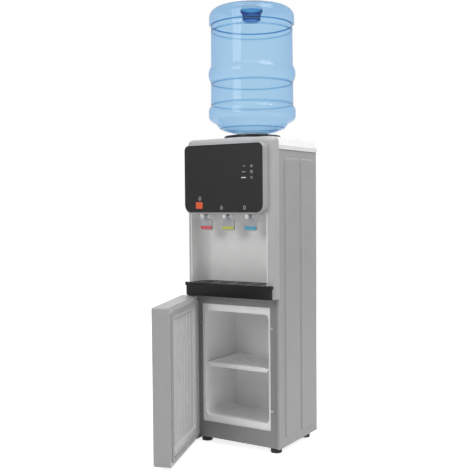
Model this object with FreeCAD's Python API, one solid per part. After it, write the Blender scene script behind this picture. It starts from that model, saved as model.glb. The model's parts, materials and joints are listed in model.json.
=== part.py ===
import FreeCAD, Part
import math
import os

# Top-loading water cooler with a storage cabinet.
# Millimetres, +Z up, front towards -Y, origin on the floor under the middle of the cabinet.

V = FreeCAD.Vector
X_AXIS = V(1, 0, 0)
Y_AXIS = V(0, 1, 0)
Z_AXIS = V(0, 0, 1)

# Cabinet envelope and stock
BODY_WIDTH = 316.0
BODY_DEPTH = 250.0
FOOT_HEIGHT = 18.0
PANEL_TOP = 913.0
SHEET = 1.0
SEAT_GAP = 0.3
RUN_FIT = 0.05
SLOT_TRIM = 0.1

# Side panels: raised fields, rolled front hem, rear flange
FIELD_RISE = 3.0
FIELD_SLOPE = 4.0
FIELD_INSET = 24.0
FIELD_FRONT_INSET = 36.0
FIELD_REAR_INSET = 17.0
FIELD_RIB = 9.0
FIELD_CORNER = 12.0
HEM_WIDTH = 8.0
HEM_DEPTH = 4.0
HEM_RADIUS = 1.8
FLANGE_WIDTH = 14.0

# Rear panel openings
VENT_SLOT = 5.0
VENT_PITCH = 12.0
VENT_LENGTH = 70.0
VENT_COUNT = 6
VENT_X = 60.0
VENT_RISE = 90.0
SCREW_HEAD_R = 3.5
SCREW_HEAD_H = 2.0
SCREW_SHANK_R = 1.9
SCREW_SHANK_LENGTH = 6.0
SCREW_ROWS = 4
SCREW_EDGE = 40.0

# Feet
FOOT_BASE_R = 17.0
FOOT_TOP_R = 14.0
FOOT_INSET = 32.0
FOOT_RECESS = 3.0

# Front housing, alcove and head
COLUMN_DEPTH = 32.6
COLUMN_CORNER = 30.0
HOUSING_WALL = 3.0
HOUSING_BOTTOM = 470.0
COLUMN_WIDTH = 22.0
ALCOVE_WALL = 2.5
ALCOVE_DEPTH = 75.6
ALCOVE_CORNER = 38.0
ALCOVE_TOP = 724.0
HEAD_OVERLAP = 5.0
HEAD_ABOVE_PANEL = 19.0
HEAD_DEPTH = 26.4
HEAD_CORNER = 26.0
HEAD_EDGE = 6.0
FASCIA_MARGIN = 4.0
FASCIA_BOTTOM_MARGIN = 6.0
FASCIA_TOP_MARGIN = 2.5
FASCIA_THICKNESS = 3.5
FASCIA_LOWER_CORNER = 23.0
FASCIA_UPPER_CORNER = 15.0
FASCIA_EDGE = 1.0
WIRE_WINDOW_INSET = 28.0

# Top cover
COVER_HEIGHT = 37.0
COVER_ROUND = 16.0
COVER_BAND = 12.5
COVER_SHOULDER_STEP = 1.2
COVER_SHOULDER_INSET = 11.0
COVER_EDGE = 5.0
COVER_EDGE_ROUND = 3.0

# Bottle seat on the cover
BOTTLE_Y = -10.0
COVER_OPENING_R = 76.0
WELL_FLANGE_R = 95.5
WELL_FLANGE_T = 5.0
WELL_BORE_R = 39.5
WELL_WALL = 2.5
WELL_LID_R = 70.0
WELL_LID_T = 3.0
WELL_DROP_R = 30.0
COLLAR_R = 88.5
COLLAR_HEIGHT = 9.0
COLLAR_WALL = 2.5
COLLAR_ROUND = 5.0
COLLAR_HOLE_R = 60.0
SEAT_RISE = 21.0
SEAT_FOOT_R = 57.0
SEAT_TOP_R = 50.0
SEAT_HOLE_R = 31.0
PROBE_R = 9.0
PROBE_BORE_R = 6.0
PROBE_BASE_R = 39.0
PROBE_BASE_T = 3.0
PROBE_LENGTH = 62.0
PROBE_TIP = 8.0
PROBE_PORT_R = 7.0
PROBE_PORTS = 6

# Bottle, given from its seat upwards
NECK_R = 27.5
NECK_DROP = 72.0
BOTTLE_WALL = 1.6
BOTTLE_SEAT_R = 37.0
BOTTLE_BODY_R = 129.8
BOTTLE_DRAFT = 2.3
BOTTLE_BAND_R = 136.8
BOTTLE_RIM_R = 133.6
BOTTLE_HEIGHT = 390.0
BOWL_MID = (84.0, 8.0)
BOWL_KNEE = (98.6, 14.5)
BOWL_LEDGE = 1.6
BOWL_SIDE = (106.4, 21.5)
STEP_FOOT = (112.0, 30.0)
STEP_TOP = (128.5, 39.5)
BAND_ONE_FLAT = (54.0, 70.5)
BAND_ONE_TOP = 86.0
BAND_TWO_Z = (161.0, 210.0)
GROOVE_DEPTH = 1.6
GROOVE_HALF = 2.5
GROOVE_Z = (91.0, 156.5)
TOP_GROOVE_DROP = 70.0
RIM_DROP = 52.0
BASE_ROUND = 30.0
PUNT_R = 88.0
PUNT_MID = (66.0, 2.0)
PUNT_FOOT = (34.0, 3.0)
DIMPLE_MID = (26.0, 16.0)
DIMPLE_FOOT = (24.0, 34.0)
WALL_SLANT = 0.7
CAP_WALL = 1.8
CAP_HEIGHT = 34.0
CAP_HOLE_R = 12.0

# Storage cabinet
FRAME_THICKNESS = 5.0
FRAME_STILE = 31.0
FRAME_SILL = 49.6
FRAME_HEADER = 29.0
FRAME_CORNER = 4.0
LINER_WALL = 2.0
LINER_LAP = 10.0
MOUTH_SIDE_LAND = 8.0
MOUTH_BOTTOM_LAND = 20.0
MOUTH_TOP_LAND = 22.0
MOUTH_CORNER = 16.0
MOUTH_DEPTH = 14.0
CAVITY_SIDE_STEP = 2.0
CAVITY_FLOOR_STEP = 9.0
CAVITY_TOP_STEP = 6.0
CAVITY_DEPTH = 185.0
CAVITY_CORNER = 14.0
SHELF_RISE = 169.5
SHELF_T = 5.0
SHELF_RAIL = 12.0
SHELF_SIDE_GAP = 1.2
SHELF_MARGIN = 14.0
SHELF_SLOT = 6.0
SHELF_SLOT_PITCH = 13.0
LEDGE_WIDTH = 10.0
LEDGE_T = 4.0

# Door, given closed; it stands open by DOOR_OPEN at rest
DOOR_SIDE_GAP = 2.5
DOOR_BOTTOM_GAP = 1.5
DOOR_TOP_GAP = 3.4
DOOR_THICKNESS = 52.4
DOOR_WALL = 2.5
DOOR_CORNER = 8.0
DOOR_EDGE = 4.0
DOOR_OPEN = 69.8
GASKET_T = 6.0
GASKET_WIDTH = 11.0
GASKET_INSET = 9.5
LINER_PLATE_T = 3.0
LINER_FIELD_INSET = 36.0
LINER_FIELD_DEPTH = 7.0
LINER_FIELD_SLOPE = 6.0
LINER_FIELD_CORNER = 14.0
LINER_RIBS = 6
LINER_RIB_R = 2.5
HINGE_FROM_EDGE = 7.5
HINGE_FROM_INNER = 20.0
PIN_R = 3.0
PIN_LENGTH = 14.0
BUSH_R = 5.0
BUSH_LENGTH = 18.0
BUSH_BOSS_R = 8.5
BRACKET_T = 2.4
BRACKET_WIDTH = 30.0

# Drip tray and grille
TRAY_SIDE_INSET = 2.0
TRAY_FRONT_GROWTH = 14.0
TRAY_HEIGHT = 41.0
TRAY_LIP = 10.0
TRAY_LIP_STEP = 3.5
TRAY_CORNER = 14.0
TRAY_WALL = 2.5
TRAY_FLOOR = 3.0
GRILLE_T = 4.0
GRILLE_LEDGE = 3.0
GRILLE_DROP = 1.0
GRILLE_SLOT = 7.0
GRILLE_SLOT_PITCH = 13.0
GRILLE_BAR = 14.0
GRILLE_COLUMNS = 4

# Taps
HOT_TAP_INSET = 53.0
COLD_TAP_INSET = 61.0
TAP_WIDTH = 28.0
TAP_HEIGHT = 30.0
TAP_SHOE_H = 7.0
TAP_LENGTH = 35.0
NOZZLE_R = 5.8
NOZZLE_BORE_R = 3.6
NOZZLE_DROP = 12.0
NOZZLE_FROM_HEAD_FRONT = 13.0
LUG_GAP = 18.0
LUG_T = 5.0
LUG_DEPTH = 16.0
LUG_DROP = 15.0
LEVER_BEHIND_NOZZLE = 22.0
LEVER_PIN_DROP = 8.0
LEVER_PIN_R = 2.0
LEVER_BOSS_R = 4.5
LEVER_WIDTH = 44.0
LEVER_T = 3.0
LEVER_LENGTH = 44.0
LEVER_CORNER = 5.0
TAB_WIDTH = 40.0
TAB_HEIGHT = 9.5
TAB_T = 2.5
TAB_RISE = 3.0
HOSE_R = 6.0
HOSE_BEND = 12.0
SPIGOT_HEIGHT = 10.0

# Lock button and control board
BUTTON_WIDTH = 24.0
BUTTON_HEIGHT = 20.0
BUTTON_CORNER = 3.0
BUTTON_PROUD = 1.5
BUTTON_FLANGE = 2.0
BUTTON_RISE = 27.0
BUTTON_GAP = 0.4
BOARD_WIDTH = 94.0
BOARD_INSET = 17.0
BOARD_HEIGHT = 94.0
BOARD_DROP = 38.0
BOARD_T = 1.6
RELAY = (18.0, 14.0, 15.0)

# Chassis shelves and tanks
DECK_T = 2.0
CHASSIS_LIP = 12.0
TANK_SHELF_RISE = 2.0
TANK_SHELF_INSET = 7.0
COLD_R = 66.0
COLD_HEIGHT = 129.0
TANK_WALL = 1.5
TANK_ROUND = 14.0
JACKET_T = 18.0
SEPARATOR_DROP = 50.0
SEPARATOR_T = 2.5
SEPARATOR_PORTS = 4
SEPARATOR_PORT_R = 6.0
COLD_OUT_X = 30.0
COLD_OUT_RISE = 41.0
ROOM_OUT_RISE = 96.0
STUB_LENGTH = 24.0
HOT_Y = 25.0
HOT_R = 52.0
HOT_HEIGHT = 148.0
HOT_PORT_X = 20.0
HOT_STUB = 15.0
HOT_HOSE_OFFSET = 90.0
HOT_HOSE_RISE = 30.0
HEATER_T = 3.7
HEATER_HEIGHT = 26.0
HEATER_RISE = 14.0
HEATER_SPLIT = 8.0
THERMOSTAT_R = 8.0
THERMOSTAT_H = 9.0
THERMOSTAT_Y = 28.0
DRAIN_RISE = 12.0
DRAIN_R = 7.0
DRAIN_PROUD = 14.0
DRAIN_CAP_R = 12.0
DRAIN_CAP_WALL = 2.5

# Thermoelectric cooling, in line behind the cold tank
COOLER_RISE = 66.0
BLOCK_SIZE = 50.0
BLOCK_DEPTH = 16.0
MODULE_SIZE = 40.0
MODULE_T = 4.0
SINK_WIDTH = 92.0
SINK_BASE = 6.0
SINK_FIN_T = 1.6
SINK_FINS = 15
FAN_SIZE = 92.0
FAN_DEPTH = 15.0
FAN_BORE_R = 43.0
FAN_TIP_GAP = 1.2
FAN_HUB_R = 15.5
FAN_HUB_WALL = 2.0
FAN_BOSS_T = 3.0
FAN_PIN_R = 2.0
FAN_BLADES = 7
FAN_BLADE_T = 1.6
FAN_BLADE_CHORD = 16.0
FAN_BLADE_PITCH = 38.0
FAN_ROTOR_GAP = 0.5
FAN_STRUT = 4.0
FAN_STRUTS = 3
FAN_STRUT_TURN = 30.0

# Rear switches and power inlet
SWITCH_INSETS = (88.0, 58.0)
SWITCH_RISE = 48.0
SWITCH_WIDTH = 15.0
SWITCH_HEIGHT = 24.0
SWITCH_DEPTH = 18.0
SWITCH_FLANGE = 2.0
SWITCH_RIM = 2.0
ROCKER_PIVOT_R = 4.0
ROCKER_RISE = 4.5
ROCKER_TILT = 9.0
ROCKER_GAP = 0.6
INLET_INSET = 63.0
INLET_RISE = 92.0
INLET_SIZE = (28.0, 20.0)
INLET_DEPTH = 24.0
INLET_FLANGE = 4.0
INLET_FLANGE_T = 2.5
INLET_WALL = 3.0
INLET_PIN = (2.0, 4.0, 14.0)
INLET_PIN_PITCH = 7.0
INLET_PIN_LIFTS = (-1.0, 2.0, -1.0)

# Places worked out from the sizes above
HALF = BODY_WIDTH / 2
FRONT = -BODY_DEPTH / 2
REAR = BODY_DEPTH / 2
SKIN_X = HALF - FIELD_RISE
INNER_X = SKIN_X - SHEET
REAR_FLANGE_Y = REAR - SHEET
COLUMN_FRONT = FRONT - COLUMN_DEPTH
HEAD_FRONT = COLUMN_FRONT - HEAD_DEPTH
FASCIA_FRONT = HEAD_FRONT - FASCIA_THICKNESS
ALCOVE_HALF = HALF - COLUMN_WIDTH
ALCOVE_BACK = COLUMN_FRONT + ALCOVE_DEPTH
HEAD_HALF = ALCOVE_HALF + HEAD_OVERLAP
HEAD_BOTTOM = ALCOVE_TOP - HOUSING_WALL
HEAD_TOP = PANEL_TOP + HEAD_ABOVE_PANEL
BUTTON_Z = HEAD_BOTTOM + BUTTON_RISE
COVER_TOP = PANEL_TOP + COVER_HEIGHT
COLLAR_TOP = COVER_TOP + WELL_FLANGE_T + COLLAR_HEIGHT
WELL_SEAT_TOP = COVER_TOP + SEAT_RISE
SEAT_Z = WELL_SEAT_TOP + SEAT_GAP
FRAME_FRONT = FRONT + HEM_DEPTH
FRAME_REAR = FRAME_FRONT + FRAME_THICKNESS
OPENING_HALF = INNER_X - FRAME_STILE
OPENING_BOTTOM = FOOT_HEIGHT + FRAME_SILL
OPENING_TOP = HOUSING_BOTTOM - FRAME_HEADER
MOUTH_HALF = OPENING_HALF - MOUTH_SIDE_LAND
MOUTH_BOTTOM = OPENING_BOTTOM + MOUTH_BOTTOM_LAND
MOUTH_TOP = OPENING_TOP - MOUTH_TOP_LAND
CAVITY_HALF = MOUTH_HALF + CAVITY_SIDE_STEP
CAVITY_BOTTOM = MOUTH_BOTTOM - CAVITY_FLOOR_STEP
CAVITY_TOP = MOUTH_TOP + CAVITY_TOP_STEP
CAVITY_BACK = FRAME_REAR + CAVITY_DEPTH
SHELF_Z = CAVITY_BOTTOM + SHELF_RISE
DECK_TOP = HOUSING_BOTTOM + DECK_T
TAP_BASE = ALCOVE_TOP + HOUSING_WALL
TANK_SHELF_Z = TAP_BASE + TANK_SHELF_RISE
TANK_SHELF_TOP = TANK_SHELF_Z + DECK_T
COLD_BASE = TANK_SHELF_TOP + JACKET_T + SEAT_GAP
LID_BOTTOM = COLD_BASE + COLD_HEIGHT
DOOR_HALF = HALF - DOOR_SIDE_GAP
DOOR_BOTTOM = FOOT_HEIGHT + DOOR_BOTTOM_GAP
DOOR_TOP = HOUSING_BOTTOM - DOOR_TOP_GAP
DOOR_INNER = FRAME_FRONT - GASKET_T
DOOR_OUTER = DOOR_INNER - DOOR_THICKNESS
HINGE_X = -DOOR_HALF + HINGE_FROM_EDGE
HINGE_Y = DOOR_INNER - HINGE_FROM_INNER
NOZZLE_Y = HEAD_FRONT + NOZZLE_FROM_HEAD_FRONT
LEVER_Y = NOZZLE_Y + LEVER_BEHIND_NOZZLE
LEVER_Z = ALCOVE_TOP - LEVER_PIN_DROP
HOT_TAP_X = HOT_TAP_INSET - ALCOVE_HALF
COLD_TAP_X = ALCOVE_HALF - COLD_TAP_INSET
TAP_X = [HOT_TAP_X, (HOT_TAP_X + COLD_TAP_X) / 2, COLD_TAP_X]
TAP_TOP = TAP_BASE + TAP_HEIGHT
SPIGOT_TOP = TAP_TOP + SPIGOT_HEIGHT
COOLER_Z = COLD_BASE + COOLER_RISE
BLOCK_END_Y = BOTTLE_Y + COLD_R + BLOCK_DEPTH
SINK_Y = BLOCK_END_Y + MODULE_T
FAN_Y = REAR_FLANGE_Y - FAN_DEPTH
HOT_BASE = DECK_TOP + JACKET_T + SEAT_GAP
HOT_TOP = HOT_BASE + HOT_HEIGHT
DRAIN_Z = HOT_BASE + DRAIN_RISE + TANK_ROUND
SWITCH_X = [HALF - inset for inset in SWITCH_INSETS]
SWITCH_Z = DECK_TOP + SWITCH_RISE
INLET_X = HALF - INLET_INSET
INLET_Z = FOOT_HEIGHT + INLET_RISE
TRAY_HALF = HALF - TRAY_SIDE_INSET
TRAY_TOP = HOUSING_BOTTOM + TRAY_HEIGHT
TRAY_FRONT = COLUMN_FRONT - TRAY_FRONT_GROWTH


# Shape helpers

def box(x0, x1, y0, y1, z0, z1):
    return Part.makeBox(x1 - x0, y1 - y0, z1 - z0, V(x0, y0, z0))


def rod(x, y, z, radius, length, axis=Z_AXIS):
    return Part.makeCylinder(radius, length, V(x, y, z), axis)


def edges_along(solid, axis, keep=lambda centre: True):
    """Straight edges parallel to an axis whose middle point passes the test."""
    found = []
    for edge in solid.Edges:
        run = edge.Vertexes[-1].Point - edge.Vertexes[0].Point
        if run.Length > 0 and abs(abs(run.normalize().dot(axis)) - 1) < 1e-6 and keep(edge.CenterOfMass):
            found.append(edge)
    return found


def rounded_box(x0, x1, y0, y1, z0, z1, radius, axis, keep=lambda centre: True):
    """A box whose edges along one axis are rounded."""
    solid = box(x0, x1, y0, y1, z0, z1)
    return solid.makeFillet(radius, edges_along(solid, axis, keep))


def round_loop(solid, radius, on_loop):
    """Round every edge whose middle lies on the wanted loop."""
    return solid.makeFillet(radius, [edge for edge in solid.Edges if on_loop(edge)])


def level_edge(edge, z):
    box_of_edge = edge.BoundBox
    return abs(box_of_edge.ZMin - z) < 1e-6 and abs(box_of_edge.ZMax - z) < 1e-6


def depth_edge(edge, y):
    box_of_edge = edge.BoundBox
    return abs(box_of_edge.YMin - y) < 1e-6 and abs(box_of_edge.YMax - y) < 1e-6


def turned(points, x, y):
    """Revolve a closed (radius, height) outline about the vertical line through x, y."""
    outline = Part.makePolygon([V(r, 0, z) for r, z in points + points[:1]])
    solid = Part.Face(outline).revolve(V(0, 0, 0), Z_AXIS, 360)
    solid.translate(V(x, y, 0))
    return solid


def mirrored(shape):
    return shape.mirror(V(0, 0, 0), X_AXIS)


def union(shapes):
    joined = shapes[0].fuse(shapes[1:]) if len(shapes) > 1 else shapes[0]
    return joined.removeSplitter()


def group(shapes):
    return Part.makeCompound(shapes)


def frustum_wire(a0, a1, b0, b1, radius, place):
    """A rounded rectangle in a plane; place turns plane coordinates into a point."""
    edges = []
    corners = ((a1, b0, 1, -1), (a1, b1, 1, 1), (a0, b1, -1, 1), (a0, b0, -1, -1))
    bend = radius * (1 - math.sqrt(0.5))
    ends = []
    for index, (a, b, right, top) in enumerate(corners):
        first = (a, b - top * radius) if index % 2 else (a - right * radius, b)
        last = (a - right * radius, b) if index % 2 else (a, b - top * radius)
        middle = (a - right * bend, b - top * bend)
        edges.append(Part.Arc(place(*first), place(*middle), place(*last)).toShape())
        ends.append((first, last))
    for index, (first, last) in enumerate(ends):
        following = ends[(index + 1) % len(ends)][0]
        edges.append(Part.LineSegment(place(*last), place(*following)).toShape())
    return Part.Wire(Part.__sortEdges__(edges))


def frustum(spans, inset, radius, near, far):
    """A pressed field: a rounded rectangle at near drawn in by inset at far."""
    a0, a1, b0, b1 = spans
    wires = [frustum_wire(a0, a1, b0, b1, radius, near),
             frustum_wire(a0 + inset, a1 - inset, b0 + inset, b1 - inset, radius - inset / 2, far)]
    return Part.makeLoft(wires, True, True)


def hose(points, radius, bend):
    """A solid hose along straight runs joined by tangent arcs."""
    edges = []
    start = points[0]
    for before, corner, after in zip(points, points[1:], points[2:]):
        into = (corner - before).normalize()
        out = (after - corner).normalize()
        turn = math.acos(max(-1.0, min(1.0, into.dot(out))))
        reach = bend * math.tan(turn / 2)
        first = corner - into * reach
        last = corner + out * reach
        inward = (out - into).normalize()
        middle = corner + inward * (bend / math.cos(turn / 2) - bend)
        edges.append(Part.LineSegment(start, first).toShape())
        edges.append(Part.Arc(first, middle, last).toShape())
        start = last
    edges.append(Part.LineSegment(start, points[-1]).toShape())
    path = Part.Wire(edges)
    profile = Part.Wire(Part.makeCircle(radius, points[0], points[1] - points[0]))
    return path.makePipeShell([profile], True, False)


# Cabinet shell

def side_panel():
    """Right side: steel skin with two raised fields, a rolled front hem and a rear flange."""
    skin = box(INNER_X, SKIN_X, FRONT, REAR_FLANGE_Y, FOOT_HEIGHT, PANEL_TOP)
    hem = rounded_box(SKIN_X - HEM_WIDTH, SKIN_X, FRONT, FRAME_FRONT, FOOT_HEIGHT, PANEL_TOP, HEM_RADIUS,
                      Z_AXIS,
                      lambda c: c.y < FRAME_FRONT - 1)
    flange = box(SKIN_X - FLANGE_WIDTH, SKIN_X, REAR_FLANGE_Y - SHEET, REAR_FLANGE_Y, FOOT_HEIGHT,
                 PANEL_TOP)
    corner_strip = box(INNER_X, SKIN_X, FRONT, FRAME_FRONT, FOOT_HEIGHT, PANEL_TOP)
    holes = [rod(x, REAR_FLANGE_Y - 2 * SHEET, z, SCREW_SHANK_R, 3 * SHEET,
                 Y_AXIS) for x, z in rear_screw_places()]
    panel = union([skin.cut(corner_strip), hem, flange.cut(holes)])
    first = FRONT + FIELD_FRONT_INSET
    last = REAR - FIELD_REAR_INSET
    width = (last - first - FIELD_RIB) / 2
    spans = ((first, first + width), (last - width, last))
    for y0, y1 in spans:
        field = frustum((y0, y1, FOOT_HEIGHT + FIELD_INSET, PANEL_TOP - FIELD_INSET), FIELD_SLOPE,
                        FIELD_CORNER,
                        lambda y, z: V(SKIN_X, y, z), lambda y, z: V(HALF, y, z))
        hollow = field.copy()
        hollow.translate(V(-SHEET, 0, 0))
        panel = panel.fuse(field).cut(hollow)
    return panel.removeSplitter()


def slot_holes(x0, x1, z_first, count, pitch):
    """A ladder of level slots through the rear panel."""
    reach = 2 * SHEET
    return [rounded_box(x0, x1, REAR_FLANGE_Y - reach, REAR + reach, z_first + row * pitch,
                        z_first + row * pitch + VENT_SLOT, VENT_SLOT / 2 - SLOT_TRIM, Y_AXIS)
            for row in range(count)]


def fan_slots():
    """Level slots over the fan, each as long as the bore's chord at its height."""
    rows = int(FAN_BORE_R // VENT_PITCH)
    holes = []
    for row in range(-rows, rows + 1):
        z = COOLER_Z + row * VENT_PITCH
        half_chord = math.sqrt(FAN_BORE_R ** 2 - (abs(row) * VENT_PITCH + VENT_SLOT / 2) ** 2)
        holes += slot_holes(-half_chord, half_chord, z - VENT_SLOT / 2, 1, VENT_PITCH)
    return holes


def rear_screw_places():
    """Screw centres down both edges of the rear panel, on the side panels' flanges."""
    x = SKIN_X - SHEET - FLANGE_WIDTH / 2
    step = (PANEL_TOP - FOOT_HEIGHT - 2 * SCREW_EDGE) / (SCREW_ROWS - 1)
    heights = [FOOT_HEIGHT + SCREW_EDGE + row * step for row in range(SCREW_ROWS)]
    return [(side * x, z) for side in (-1, 1) for z in heights]


def rear_panel():
    """Steel back with fan slots, two vent ladders and the service openings."""
    panel = box(-SKIN_X, SKIN_X, REAR_FLANGE_Y, REAR, FOOT_HEIGHT, PANEL_TOP)
    reach = 2 * SHEET
    cuts = fan_slots()
    for side in (-1, 1):
        x_mid = side * VENT_X
        for z_first in (DECK_TOP + VENT_RISE, FOOT_HEIGHT + 2 * VENT_RISE):
            cuts += slot_holes(x_mid - VENT_LENGTH / 2, x_mid + VENT_LENGTH / 2, z_first, VENT_COUNT,
                               VENT_PITCH)
    for x in SWITCH_X:
        cuts.append(box(x - SWITCH_WIDTH / 2, x + SWITCH_WIDTH / 2, REAR_FLANGE_Y - reach, REAR + reach,
                        SWITCH_Z - SWITCH_HEIGHT / 2, SWITCH_Z + SWITCH_HEIGHT / 2))
    width, height = INLET_SIZE
    cuts.append(box(INLET_X - width / 2, INLET_X + width / 2, REAR_FLANGE_Y - reach, REAR + reach,
                    INLET_Z - height / 2, INLET_Z + height / 2))
    cuts.append(rod(0, REAR_FLANGE_Y - reach, DRAIN_Z, DRAIN_R + SEAT_GAP, 2 * reach + SHEET, Y_AXIS))
    for x, z in rear_screw_places():
        cuts.append(rod(x, REAR_FLANGE_Y - reach, z, SCREW_SHANK_R, 2 * reach + SHEET, Y_AXIS))
    return panel.cut(cuts)


def base_plate():
    """Steel floor pan with turned-up sides."""
    y0, y1 = FRAME_REAR, REAR_FLANGE_Y - SHEET
    floor = box(-INNER_X, INNER_X, y0, y1, FOOT_HEIGHT, FOOT_HEIGHT + SHEET)
    lip = box(INNER_X - SHEET, INNER_X, y0, y1, FOOT_HEIGHT, FOOT_HEIGHT + CHASSIS_LIP)
    return union([floor, lip, mirrored(lip)])


def chassis_plate(z, y0, holes):
    """A steel cross plate between the sides, its lips turned down."""
    y1 = REAR_FLANGE_Y - SHEET
    plate = box(-INNER_X, INNER_X, y0, y1, z, z + DECK_T)
    lip = box(INNER_X - SHEET, INNER_X, y0, y1, z - CHASSIS_LIP, z + DECK_T)
    return union([plate, lip, mirrored(lip)]).cut(holes)


def tank_deck():
    return chassis_plate(HOUSING_BOTTOM, FRAME_REAR, [])


def tank_shelf():
    y0 = ALCOVE_BACK + TANK_SHELF_INSET
    reach = DECK_T + CHASSIS_LIP
    holes = [rod(0, BOTTLE_Y, TANK_SHELF_Z - reach, HOSE_R + SEAT_GAP, 2 * reach),
             rod(hot_hose_x(), HOT_Y, TANK_SHELF_Z - reach, HOSE_R + 4 * SEAT_GAP, 2 * reach)]
    return chassis_plate(TANK_SHELF_Z, y0, holes)


def foot_places():
    x = HALF - FOOT_INSET
    y = REAR - FOOT_INSET
    return [(side * x, end * y) for side in (-1, 1) for end in (-1, 1)]


def feet():
    """Four tapered rubber feet, recessed underneath."""
    outline = [(0, FOOT_RECESS), (FOOT_BASE_R - 2 * FOOT_RECESS, FOOT_RECESS),
               (FOOT_BASE_R - 2 * FOOT_RECESS, 0),
               (FOOT_BASE_R, 0), (FOOT_BASE_R, FOOT_HEIGHT / 2), (FOOT_TOP_R, FOOT_HEIGHT),
               (0, FOOT_HEIGHT)]
    return group([turned(outline, x, y) for x, y in foot_places()])


# Front mouldings

def front_housing():
    """Two hollow columns joined by a wall behind the head, closed by a rounded brow in front of the cover."""
    def prism(inset):
        top = COVER_TOP - inset
        solid = box(-HALF + inset, HALF - inset, COLUMN_FRONT + inset, FRONT, HOUSING_BOTTOM, top)
        solid = solid.makeFillet(COLUMN_CORNER - inset,
                                 edges_along(solid, Z_AXIS, lambda c: c.y < FRONT - 1))
        return round_loop(solid, COVER_ROUND - inset,
                          lambda edge: level_edge(edge, top) and edge.CenterOfMass.y < FRONT - 1)
    alcove = box(-ALCOVE_HALF, ALCOVE_HALF, COLUMN_FRONT - 1, FRONT + 1, HOUSING_BOTTOM - 1, TAP_BASE)
    inset = WIRE_WINDOW_INSET
    window = rounded_box(-ALCOVE_HALF + inset, ALCOVE_HALF - inset, COLUMN_FRONT - 1, FRONT + 1,
                         TAP_BASE - 1,
                         PANEL_TOP - inset, inset / 2, Y_AXIS, lambda c: c.z > TAP_BASE)
    return prism(0).cut([prism(HOUSING_WALL), alcove, window])


def alcove_panel():
    """Recess behind the taps: back with hollow-cornered sides, tray floor and slotted ceiling."""
    outer_y = ALCOVE_BACK + ALCOVE_WALL
    outer = rounded_box(-ALCOVE_HALF, ALCOVE_HALF, COLUMN_FRONT, outer_y, DECK_TOP, TAP_BASE,
                        ALCOVE_CORNER + ALCOVE_WALL, Z_AXIS, lambda c: c.y > COLUMN_FRONT + 1)
    half = ALCOVE_HALF - ALCOVE_WALL
    hollow = rounded_box(-half, half, COLUMN_FRONT - 1, ALCOVE_BACK, DECK_TOP + ALCOVE_WALL, ALCOVE_TOP,
                         ALCOVE_CORNER, Z_AXIS, lambda c: c.y > COLUMN_FRONT)
    slots = [box(x - LUG_GAP / 2 - LUG_T - SEAT_GAP, x + LUG_GAP / 2 + LUG_T + SEAT_GAP, COLUMN_FRONT - 1,
                 LEVER_Y + LUG_DEPTH / 2 + SEAT_GAP, ALCOVE_TOP - 1, TAP_BASE + 1) for x in TAP_X]
    return outer.cut([hollow] + slots)


def head_prism(half, z0, z1, y0, y1, lower, upper):
    """A block with its own lower and upper corner radii, seen from the front."""
    solid = box(-half, half, y0, y1, z0, z1)
    middle = (z0 + z1) / 2
    solid = solid.makeFillet(lower, edges_along(solid, Y_AXIS, lambda c: c.z < middle))
    return solid.makeFillet(upper, edges_along(solid, Y_AXIS, lambda c: c.z > middle))


def button_block(gap, y0, y1):
    half_w = BUTTON_WIDTH / 2 + gap
    half_h = BUTTON_HEIGHT / 2 + gap
    return rounded_box(TAP_X[0] - half_w, TAP_X[0] + half_w, y0, y1, BUTTON_Z - half_h, BUTTON_Z + half_h,
                       BUTTON_CORNER + gap, Y_AXIS)


def head_housing():
    """Bezel round the head: hollow, open behind, with holes for the spouts, the button and the display."""
    outer = head_prism(HEAD_HALF, HEAD_BOTTOM, HEAD_TOP, HEAD_FRONT, COLUMN_FRONT, HEAD_CORNER,
                       FASCIA_UPPER_CORNER + FASCIA_MARGIN)
    outer = round_loop(outer, HEAD_EDGE, lambda edge: depth_edge(edge, HEAD_FRONT))
    wall = HOUSING_WALL
    hollow = head_prism(HEAD_HALF - wall, HEAD_BOTTOM + wall, HEAD_TOP - wall, HEAD_FRONT + 2 * wall,
                        COLUMN_FRONT + 1, HEAD_CORNER - wall, FASCIA_UPPER_CORNER)
    spouts = [rod(x, NOZZLE_Y, HEAD_BOTTOM - 1, NOZZLE_R + SEAT_GAP, 2 * wall) for x in TAP_X]
    button = button_block(BUTTON_GAP, HEAD_FRONT - 1, HEAD_FRONT + 3 * wall)
    x0, x1, z0, z1 = board_span()
    display = box(x0 + 2 * wall, x1 - 2 * wall, HEAD_FRONT - 1, HEAD_FRONT + 3 * wall, z0 + 2 * wall,
                  z1 - 2 * wall)
    return outer.cut([hollow, button, display] + spouts)


def control_fascia():
    """Black front plate with softened edges."""
    plate = head_prism(HEAD_HALF - FASCIA_MARGIN, HEAD_BOTTOM + FASCIA_BOTTOM_MARGIN,
                       HEAD_TOP - FASCIA_TOP_MARGIN,
                       FASCIA_FRONT, HEAD_FRONT, FASCIA_LOWER_CORNER, FASCIA_UPPER_CORNER)
    plate = round_loop(plate, FASCIA_EDGE, lambda edge: depth_edge(edge, FASCIA_FRONT))
    return plate.cut(button_block(BUTTON_GAP, FASCIA_FRONT - 1, HEAD_FRONT + 1))


def lock_button():
    """Push button with a retaining flange behind the bezel wall."""
    wall_back = HEAD_FRONT + 2 * HOUSING_WALL
    cap = button_block(0, FASCIA_FRONT - BUTTON_PROUD, wall_back + SEAT_GAP)
    flange = button_block(BUTTON_FLANGE, wall_back + SEAT_GAP, wall_back + SEAT_GAP + BUTTON_FLANGE)
    return union([round_loop(cap, BUTTON_PROUD / 2,
                             lambda edge: depth_edge(edge, FASCIA_FRONT - BUTTON_PROUD)),
                  flange])


def board_span():
    x1 = HEAD_HALF - BOARD_INSET
    z1 = HEAD_TOP - BOARD_DROP
    return x1 - BOARD_WIDTH, x1, z1 - BOARD_HEIGHT, z1


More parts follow.
